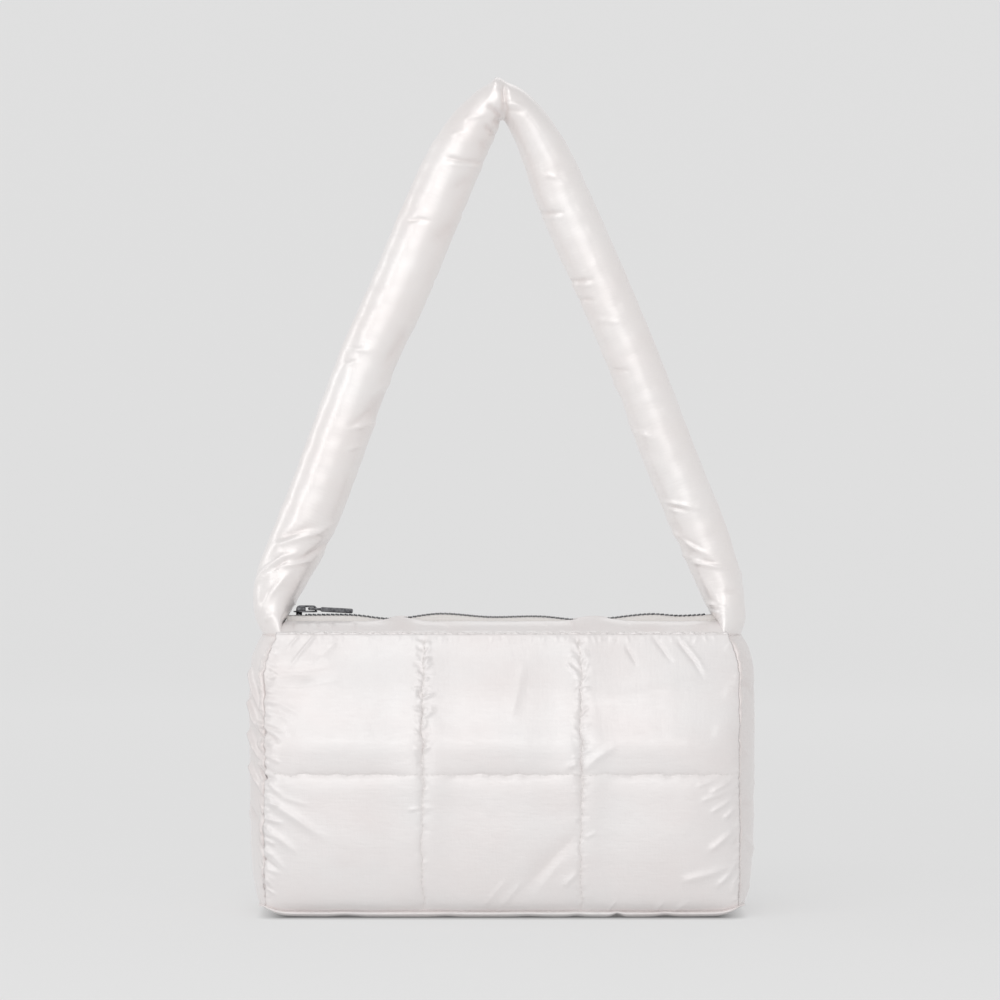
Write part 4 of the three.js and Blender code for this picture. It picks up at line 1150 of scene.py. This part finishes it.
# rings of the strap: an ellipse in the plane across its path, rows spaced evenly along the path's length
def strapRings(share):
    roundCount, alongCount = strap["steps"]
    rows = np.array(strap["sections"], float)
    rows = np.concatenate([np.arange(len(rows))[:, None], rows], axis=1)
    dense = np.linspace(0, len(rows) - 1, 2000)
    line = np.stack([tableAt(rows, 1, dense), tableAt(rows, 2, dense)], axis=1)
    gone = np.concatenate([[0], np.cumsum(np.hypot(*np.diff(line, axis=0).T))])
    at = np.interp(np.linspace(0, gone[-1], alongCount + 1), gone, dense)
    x, z, lean, half, depth = (tableAt(rows, column, at)[:, None] for column in range(1, 6))
    lean = np.radians(lean)
    turn = np.arange(roundCount) * 2 * np.pi / roundCount
    reach = share * half * np.cos(turn)
    rings = np.stack([x + reach * np.cos(lean), share * depth * np.sin(turn), z - reach * np.sin(lean)], axis=-1)
    by, low, high = strap["rootCurl"]
    curl = by * np.abs(np.sin(turn)) ** gusset["power"] * (1 - easeStep(low, high, rings[..., 2]))
    rings[..., 0] -= np.sign(x) * curl
    return rings, turn, gone[-1]


# stuffed strap: a tube blown out against a slightly longer, wider cut, then creased where it bends
def makeStrap():
    rng = np.random.default_rng(61)
    rings, turn, length = strapRings(1)
    start = strapRings(strap["startShare"])[0]
    gaps = np.linalg.norm(np.diff(rings, axis=0), axis=2)
    mean, longest = strap["cutShares"]
    step = (mean * gaps.mean(1) + longest * gaps.max(1)) * (1 + strap["slackAlong"])
    girth = np.linalg.norm(rings - np.roll(rings, 1, axis=1), axis=2).sum(1) * (1 + strap["slackRound"])
    cut = np.zeros(rings.shape)
    cut[..., 0] = girth[:, None] / (2 * np.pi) * np.cos(turn)
    cut[..., 1] = girth[:, None] / (2 * np.pi) * np.sin(turn)
    cut[1:, :, 2] = np.cumsum(step)[:, None]
    path = np.linspace(0, length, len(rings))[:, None] + 0 * turn
    high, wavelength = strap["startRipple"]
    uneven = high * ripple(rng, path, turn * strap["radius"], wavelength)
    start = start + gridNormals(start, True) * uneven[..., None]
    hold = strap["pins"]
    pins = np.full(rings.shape[:2], hold["loose"])
    ends = (path < hold["root"]) | (path > length - hold["root"])
    pins[(np.abs(path - length / 2) < hold["peak"]) | ends] = hold["held"]
    pins[[0, 1, 2, -3, -2, -1]] = 1
    share, passes = strap["soften"]
    rings = settleCloth(start, cut, pins, strap["cloth"], True)
    rings = soften(rings, np.full(rings.shape[:2], share), passes, True)
    fine = refine(rings, True)
    normal = gridNormals(fine, True)
    x, z = fine[..., 0], fine[..., 2]
    first, share = strap["backFolds"]
    behind = [([(-px, pz) for px, pz in points], wide, share * rise)
              for points, wide, rise in strap["folds"][first:]]
    height = foldHeight(strap["folds"], x, z) * easeStep(*strap["facing"], -normal[..., 1])
    height += foldHeight(behind, x, z) * easeStep(*strap["facing"], normal[..., 1])
    fine = fine + normal * (height * easeStep(*strap["rootFade"], z))[..., None]
    count = fine.shape[1]
    around = np.arange(count + 1) / count * strap["girth"]
    uv = np.stack(np.meshgrid(around + 900, np.linspace(0, length, len(fine))), axis=-1)
    points, faceSets = closedTube(fine, uv)
    # painted shade down in the folds, half of it on the end caps
    crease = strap["crease"] * np.clip(-height, 0, 1)
    return addPiece("stuffedStrap", points, faceSets, strapSatinPaintedPaler, np.concatenate([crease.ravel(), [0.5, 0.5]]))


settle(makeStrap(), "strap")
print("strap done")

tape = {
    "halfLength": 118.2, "thick": 0.7, "columns": 228, "rows": 24, "tooth": 2.5, "gap": 0.3, "below": 0.15,
    "hidden": [(-14.2, 154.1), (-9.6, 155.2), (-8.2, 156.1), (-7.6, 157.5)],   # depth and height under the band
    "rising": (-5.2, 0.4),       # then up to the teeth: depth, below the top edge
    "flat": (0.0145, 0.2364),    # metres
}


# woven tape: a thin strip that runs from under the band up to the teeth, its top edge on the line of the zip
def makeTapeStrip(name, flip):
    x = np.linspace(-tape["halfLength"], tape["halfLength"], tape["columns"] + 1)
    top = zipHeight(x) - tape["below"]
    rising = [(tape["rising"][0], top - tape["rising"][1]), (-tape["tooth"] - tape["gap"], top)]
    knots = np.stack([np.stack([0 * x + y, 0 * x + z], axis=-1) for y, z in tape["hidden"] + rising])
    at = np.linspace(0, len(knots) - 1, tape["rows"] + 1)
    k = np.minimum(at.astype(int), len(knots) - 2)
    share = (at - k)[:, None, None]
    line = knots[k] * (1 - share) + knots[k + 1] * share
    outer = np.stack([np.broadcast_to(x, line.shape[:2]), line[..., 0], line[..., 1]], axis=-1)
    uv = np.stack([outer[..., 0] + 200, np.broadcast_to(at[:, None] * 3, line.shape[:2])], axis=-1)
    return sewnPiece(name, outer, outer - [0, 0, tape["thick"]], uv, wovenTape, None, flip)


for name, node, bandPiece, flip in (
        ("tapeFront", "zip_tape_front", frontBand, asSewn), ("tapeBack", "zip_tape_back", backBand, mirrored)):
    strip = makeTapeStrip(name, flip)
    settle(strip, node)
print("tapes done")

zipLook = {
    "pitch": 2.5, "start": -108.4, "end": 113.0, "height": 0.65, "tip": 4.0, "past": 0.6, "width": 1.1,
    "sliderFront": -114.6, "sliderLength": 13.0, "sliderHalf": 4.0, "plate": 0.9, "clear": 0.8,
    "bridgeClear": 2.2, "bridgeThick": 1.1, "bridgeWidth": 2.8, "bridgeInset": 1.4, "bridgeLength": 11.4,
    "pivot": -106.0, "pullLength": 24.0, "pullHalf": 2.8, "eyeLength": 6.4,
    "bar": 1.3, "pullThick": 2.6, "droop": 3.2,
    "post": (3.0, 1.7, 0.4),   # place behind the slider's front, half width, depth into each plate
    "lug": (0.2, 0.8, 5.0, 1.2),   # block under the bridge: behind its foot, above the plate, length, half height
    "inset": (0.9, 0.7),       # first and last tooth from the ends
    "eyeSquare": 0.35, "eyeLap": 0.6, "tabLap": 0.3,   # the eye's bar and the tab run into each other
    # shapes along a bar: share of its length, of its width, of its thickness
    "tooth": [(0, 0.7, 0.8), (0.05, 1, 1), (0.42, 1, 1), (0.55, 0.75, 0.62), (0.78, 0.95, 0.64), (0.95, 0.8, 0.6),
              (1, 0.45, 0.4)],
    "waist": [(0, 0.5, 0.5), (0.03, 0.74, 0.85), (0.1, 0.92, 1), (0.3, 1, 1), (0.55, 0.93, 1), (0.8, 0.8, 1),
              (0.93, 0.74, 1), (0.98, 0.66, 0.85), (1, 0.5, 0.5)],
    "lugEnds": [(0, 0.8, 0.7), (0.06, 0.95, 0.9), (0.15, 1, 1), (0.85, 1, 1), (0.94, 0.95, 0.9), (1, 0.8, 0.7)],
    "tab": [(0, 0.5, 0.5), (0.015, 0.8, 0.75), (0.05, 0.92, 1), (0.2, 0.97, 1), (0.9, 1, 1), (0.97, 0.98, 0.95),
            (0.99, 0.93, 0.8), (1, 0.8, 0.55)],
    # half of the bridge's path, along and up from its foot, of a bridge this long; the other half is mirrored
    "bridgeDrawn": 10.4,
    "bridge": [(0, -0.2), (0, 0.9), (0.15, 1.55), (0.6, 2.1), (1.3, 2.36), (3, 2.42)],
}


# superellipse ring in two directions: signed powers of cosine and sine, squarer as the power grows
def squareRing(count, power):
    turn = np.arange(count) * 2 * np.pi / count + np.pi / count
    c, s = np.cos(turn), np.sin(turn)
    return np.sign(c) * np.abs(c) ** (2 / power), np.sign(s) * np.abs(s) ** (2 / power)


# bar with shaped ends: squared rings along a straight axis, their size from a table of (share, width, thickness)
def squaredBar(origin, length, halfWidth, halfThick, shape, power=6, count=20, axes=np.eye(3)):
    share, wide, thick = (column[:, None, None] for column in np.asarray(shape, float).T)
    axis, side, rise = axes
    across, up = (part[:, None] for part in squareRing(count, power))
    ring = wide * halfWidth * across * side + thick * halfThick * up * rise
    return closedTube(np.array(origin) + share * length * axis + ring, np.zeros((len(shape), count + 1, 2)))


# one tooth is a short bar from its tape to past the middle, thick at the root and hooked at the tip
def makeTeeth():
    count = int((zipLook["end"] - zipLook["start"] - 1) / zipLook["pitch"])
    share, wide, thick = (column[:, None] for column in np.array(zipLook["tooth"]).T)
    across, up = squareRing(8, 4)
    shapes = []
    for side, shift in ((-1, 0), (1, 0.5)):
        x = zipLook["start"] + zipLook["inset"][0] + (np.arange(count) + shift) * zipLook["pitch"]
        inward = side * (zipLook["tip"] - share * (zipLook["tip"] + zipLook["past"]))
        ring = np.stack([wide * zipLook["width"] / 2 * across, inward + 0 * across,
                         thick * zipLook["height"] * up], axis=-1)
        if side > 0:
            ring = ring[:, ::-1]
        for at in x[x < zipLook["end"] - zipLook["inset"][1]]:
            shapes.append(closedTube(ring + [at, 0, zipHeight(at)], np.zeros((len(share), 9, 2))))
    return addPiece("zipTeeth", *together(shapes), darkNickel)


settle(makeTeeth(), "zip_teeth")

chain = zipHeight(zipLook["pivot"])
plateAt = zipLook["height"] + zipLook["clear"]
plateTop = chain + plateAt + zipLook["plate"]


# slider: two plates with a waist, a post between them, a lug and a bent bridge on top
def makeSlider():
    front, plate, thick = zipLook["sliderFront"], zipLook["plate"] / 2, zipLook["bridgeThick"]
    heights = [chain + sign * (plateAt + plate) for sign in (1, -1)]
    shapes = [squaredBar([front, 0, z], zipLook["sliderLength"], zipLook["sliderHalf"], plate, zipLook["waist"])
              for z in heights]
    behind, half, into = zipLook["post"]
    shapes.append(squaredBar([front + behind, 0, chain - plateAt - into], 2 * plateAt + 2 * into, half, half,
                             [(0, 1, 1), (1, 1, 1)], 2, axes=np.eye(3)[[2, 0, 1]]))
    foot = front + zipLook["bridgeInset"]
    behind, above, length, half = zipLook["lug"]
    shapes.append(squaredBar([foot + behind, 0, plateTop + above], length, zipLook["bridgeWidth"] / 2, half,
                             zipLook["lugEnds"]))
    near = np.array(zipLook["bridge"])
    span = zipLook["bridgeLength"] - thick
    size = span / zipLook["bridgeDrawn"]
    path = np.concatenate([near * [size, 1], near[::-1] * [-size, 1] + [span, 0]]) + [thick / 2, 0]
    ahead = np.gradient(path, axis=0)
    ahead /= np.linalg.norm(ahead, axis=1, keepdims=True)
    across, up = squareRing(16, 5)
    rings = np.stack([path[:, :1] - ahead[:, 1:] * up * thick / 2,
                      0 * path[:, :1] - across * zipLook["bridgeWidth"] / 2,
                      path[:, 1:] + ahead[:, :1] * up * thick / 2], axis=-1)
    shapes.append(closedTube(rings + [foot, 0, plateTop], np.zeros((len(path), 17, 2))))
    return addPiece("zipSlider", *together(shapes), darkNickel)


settle(makeSlider(), "zip_slider")


# pull: an eye round the bridge, a rounded bar carried round a rounded rectangle, then a tab with softened edges
def makePull():
    bar, eye = zipLook["bar"] / 2, zipLook["eyeLength"]
    steps, sides = 48, 12
    around = np.linspace(0, 2 * np.pi, steps, endpoint=False)
    c, s = (np.sign(part) * np.abs(part) ** zipLook["eyeSquare"] for part in (np.cos(around), np.sin(around)))
    lengthHalf = (eye + zipLook["eyeLap"]) / 2
    x, y = lengthHalf + lengthHalf * c, (zipLook["pullHalf"] - bar) * s
    out = np.stack([np.gradient(y), -np.gradient(x)], axis=1)
    out /= np.linalg.norm(out, axis=1, keepdims=True)
    across, up = squareRing(sides, 3)
    ring = np.stack([x[:, None] + bar * across * out[:, :1], y[:, None] + bar * across * out[:, 1:],
                     0 * x[:, None] + bar * up], axis=-1)
    rowAt, columnAt = gridFaces(steps + 1, sides, True)
    corners = ((rowAt % steps) * sides + columnAt % sides)[:, ::-1]
    loop = (ring.reshape(-1, 3), [(corners, np.zeros((*corners.shape, 2)))])
    tabStart = eye - zipLook["tabLap"]
    tab = squaredBar([tabStart, 0, 0], zipLook["pullLength"] - tabStart, zipLook["pullHalf"],
                     zipLook["pullThick"] / 2, zipLook["tab"], 8, 28)
    points, faceSets = together([loop, tab])
    droop = np.radians(zipLook["droop"])
    turn = np.array([[np.cos(droop), 0, np.sin(droop)], [0, 1, 0], [-np.sin(droop), 0, np.cos(droop)]])
    pivot = [zipLook["pivot"], 0, plateTop + zipLook["bridgeClear"] / 2]
    return addPiece("zipPull", points @ turn.T + pivot, faceSets, darkNickel)


settle(makePull(), "zip_pull", body="pull")
print("zip done")

stitch = {
    "pitch": 3.1, "length": 2.3, "radius": 0.22, "sunk": 0.3, "topPitch": 3.4, "topSunk": 0.8,
    "shares": [-0.5, -0.44, -0.25, 0, 0.25, 0.44, 0.5], "size": [0.35, 0.75, 1, 1, 1, 0.75, 0.35], "dip": 1.6,
    "endRows": 4,   # grid rows left bare at the ends of a seam
}


# stitches along a line on a surface: short rounded bars lying along it, their ends dipping into the cloth
def stitchRow(line, normal, pitch, sunk):
    gone = np.concatenate([[0], np.cumsum(np.linalg.norm(np.diff(line, axis=0), axis=1))])
    middle = np.arange(pitch, gone[-1] - pitch / 2, pitch)

    def at(values, where):
        return np.stack([np.interp(where, gone, values[:, axis]) for axis in range(3)], axis=-1)

    shares, size = np.array(stitch["shares"]), np.array(stitch["size"])[:, None, None] * stitch["radius"]
    where = middle[:, None] + shares * stitch["length"]
    centre, up = at(line, where), at(normal, where)
    ahead = np.gradient(centre, axis=1)
    ahead /= np.linalg.norm(ahead, axis=2, keepdims=True)
    side = np.cross(up, ahead)
    turn = np.arange(6) * np.pi / 3
    lift = (1 - sunk - stitch["dip"] * (2 * np.abs(shares)) ** 4) * stitch["radius"]
    centre = centre + lift[:, None] * up
    ring = size * (np.cos(turn)[:, None] * side[:, :, None] + np.sin(turn)[:, None] * up[:, :, None])
    uv = np.stack(np.meshgrid(np.arange(7) * 0.3, shares * stitch["length"]), axis=-1)
    return [closedTube(rings[:, ::-1], uv) for rings in centre[:, :, None] + ring]


# both upright seams and the level one of a panel, all facing straight out of it
def panelStitches(outer, flip):
    across, up = (2 * count for count in panel["steps"])
    inside = slice(stitch["endRows"], -stitch["endRows"])
    rows = [(outer[inside, across], stitch["sunk"]), (outer[inside, 2 * across], stitch["sunk"]),
            (outer[up, inside], stitch["topSunk"])]
    return sum((stitchRow(line * flip, np.tile([0, -1, 0], (len(line), 1)) * flip, stitch["pitch"], sunk)
                for line, sunk in rows), [])


# the topstitching, on the third row of a band
def bandStitches(outer, flip):
    inside = slice(stitch["endRows"], -stitch["endRows"])
    line, normal = outer[2, inside], gridNormals(outer)[2, inside]
    return stitchRow(line * flip, normal * flip, stitch["topPitch"], stitch["topSunk"])


for name, panelOuter, panelFlip, bandOuter, bandFlip in (
        ("stitchesFront", frontOuter, asSewn, frontBandFace, asSewn),
        ("stitchesBack", backOuter, halfTurn, backBandFace, mirrored)):
    shapes = panelStitches(panelOuter, panelFlip) + bandStitches(bandOuter, bandFlip)
    sewing = addPiece(name, *together(shapes), sewingThread)
    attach(sewing, "bag")
print("stitches done")

studio = {
    "floor": -0.4335, "flatRadius": 3.2, "sweepRadius": 1.6, "wallHeight": 3.4,
    "grey": 0.38, "glow": (0.435, 0.474), "glowReach": (0.5, 2.2),   # the floor's own light, near and far
    "foot": (0.117, 0.043), "paintedShadowFade": 0.016, "paintedShadowGlow": 0.2,      # the glow fades out under the bag: a painted contact shadow
    "lights": [  # name, place, aimed at, width, height, power
        ("keySoftbox", (-0.28, -1.9, 0.95), (0, 0, -0.3), 1.2, 0.9, 3.6),
        ("frontFill", (-0.4, -2.8, 0.3), (0, 0, -0.3), 2.2, 1.6, 6),
        ("overhead", (-0.35, -0.75, 1.45), (0, 0, -0.2), 1.0, 0.6, 3.0),
        ("leftStrip", (-1.6, -1.3, 0.25), (0, 0, -0.25), 0.5, 1.0, 2.2),
        ("sideStrip", (-1.6, 0.5, 0.3), (0, 0, -0.35), 0.3, 0.8, 1.1),
        ("backSoftbox", (0.2, 1.9, 1.3), (0, 0, -0.3), 1.2, 0.9, 2),
        ("leftSpark", (-1.1, -1.5, 0.75), (0, 0, -0.3), 0.14, 0.14, 0.55),
        ("rightSpark", (1.0, -1.5, 0.8), (0, 0, -0.3), 0.14, 0.14, 0.45),
    ],
    "sky": 0.6,
}


# grey paint that glows a little, with a painted shadow where the bag stands, where the glow fades out
def makePaint():
    paint, tree, shader = newFinish("studioGrey")
    setSockets(shader, {"Base Color": (*[studio["grey"]] * 3, 1), "Roughness": 1, "Specular IOR Level": 0,
                        "Emission Color": (1, 1, 1, 1)})
    place = addNode(tree, "ShaderNodeTexCoord").outputs["Object"]

    def vectorStep(operation, source, second=(0, 0, 0)):
        step = addNode(tree, "ShaderNodeVectorMath", operation=operation)
        step.inputs[1].default_value = second
        tree.links.new(source, step.inputs[0])
        return step.outputs["Value" if operation == "LENGTH" else "Vector"]

    # painted contact shadow: the glow drops to a share inside a box round the bag and comes back over a short
    # stretch
    past = vectorStep("SUBTRACT", vectorStep("ABSOLUTE", place), (*studio["foot"], 0))
    past = vectorStep("MULTIPLY", vectorStep("MAXIMUM", past), (1, 1, 0))
    clear = spread(tree, vectorStep("LENGTH", past), studio["paintedShadowGlow"], 1, 0, studio["paintedShadowFade"])
    glow = addNode(tree, "ShaderNodeMath", operation="MULTIPLY")
    bright = spread(tree, vectorStep("LENGTH", place), *studio["glow"], *studio["glowReach"])
    tree.links.new(bright, glow.inputs[0])
    tree.links.new(clear, glow.inputs[1])
    linkSockets(tree, shader, {"Emission Strength": glow.outputs[0]})
    paint.cycles.emission_sampling = "NONE"
    return paint


# seamless studio floor: a flat disc whose rim sweeps up all round, a profile turned about the upright axis
def makeStage():
    turn = np.linspace(0, 2 * np.pi, 97)[:-1]
    bend = np.linspace(0, np.pi / 2, 13)
    flatEnd, sweep = studio["flatRadius"], studio["sweepRadius"]
    flat = np.linspace(0.02, flatEnd, 9)[:-1]
    radius = np.concatenate([flat, flatEnd + sweep * np.sin(bend), [flatEnd + sweep]])[:, None]
    height = np.concatenate([0 * flat, sweep * (1 - np.cos(bend)), [studio["wallHeight"]]])[:, None]
    height = height + studio["floor"]
    rings = np.stack([radius * np.cos(turn), radius * np.sin(turn), height + 0 * turn], axis=-1)
    mesh = bpy.data.meshes.new("studioFloor")
    rowAt, columnAt = gridFaces(len(radius), len(turn), True)
    last = len(radius) * len(turn)
    faces = (rowAt * len(turn) + columnAt % len(turn))[:, ::-1].tolist()
    faces += [[k, (k + 1) % len(turn), last] for k in range(len(turn))]
    mesh.from_pydata(np.concatenate([rings.reshape(-1, 3), [[0, 0, studio["floor"]]]]), [], faces)
    mesh.polygons.foreach_set("use_smooth", np.ones(len(mesh.polygons), bool))
    mesh.materials.append(makePaint())
    floor = bpy.data.objects.new("studioFloor", mesh)
    scene.collection.objects.link(floor)


# lamp aimed at a point: its tilt and turn are the angles of the line between them
def addLight(name, place, target, width, height, power):
    lamp = bpy.data.lights.new(name, "AREA")
    lamp.shape, lamp.size, lamp.size_y, lamp.energy = "RECTANGLE", width, height, power
    item = bpy.data.objects.new(name, lamp)
    item.location = place
    away = np.array(place) - np.array(target)
    flat = np.hypot(away[0], away[1])
    item.rotation_euler = (np.arctan2(flat, away[2]), 0, np.arctan2(away[1], away[0]) + np.pi / 2)
    item.visible_camera = False
    scene.collection.objects.link(item)


makeStage()
for row in studio["lights"]:
    addLight(*row)
world = bpy.data.worlds.new("studioSky")
world.use_nodes = True
setSockets(world.node_tree.nodes["Background"], {"Color": (1, 1, 1, 1), "Strength": studio["sky"]})
scene.world = world
scene.view_settings.view_transform = "Standard"
print("studio lit")
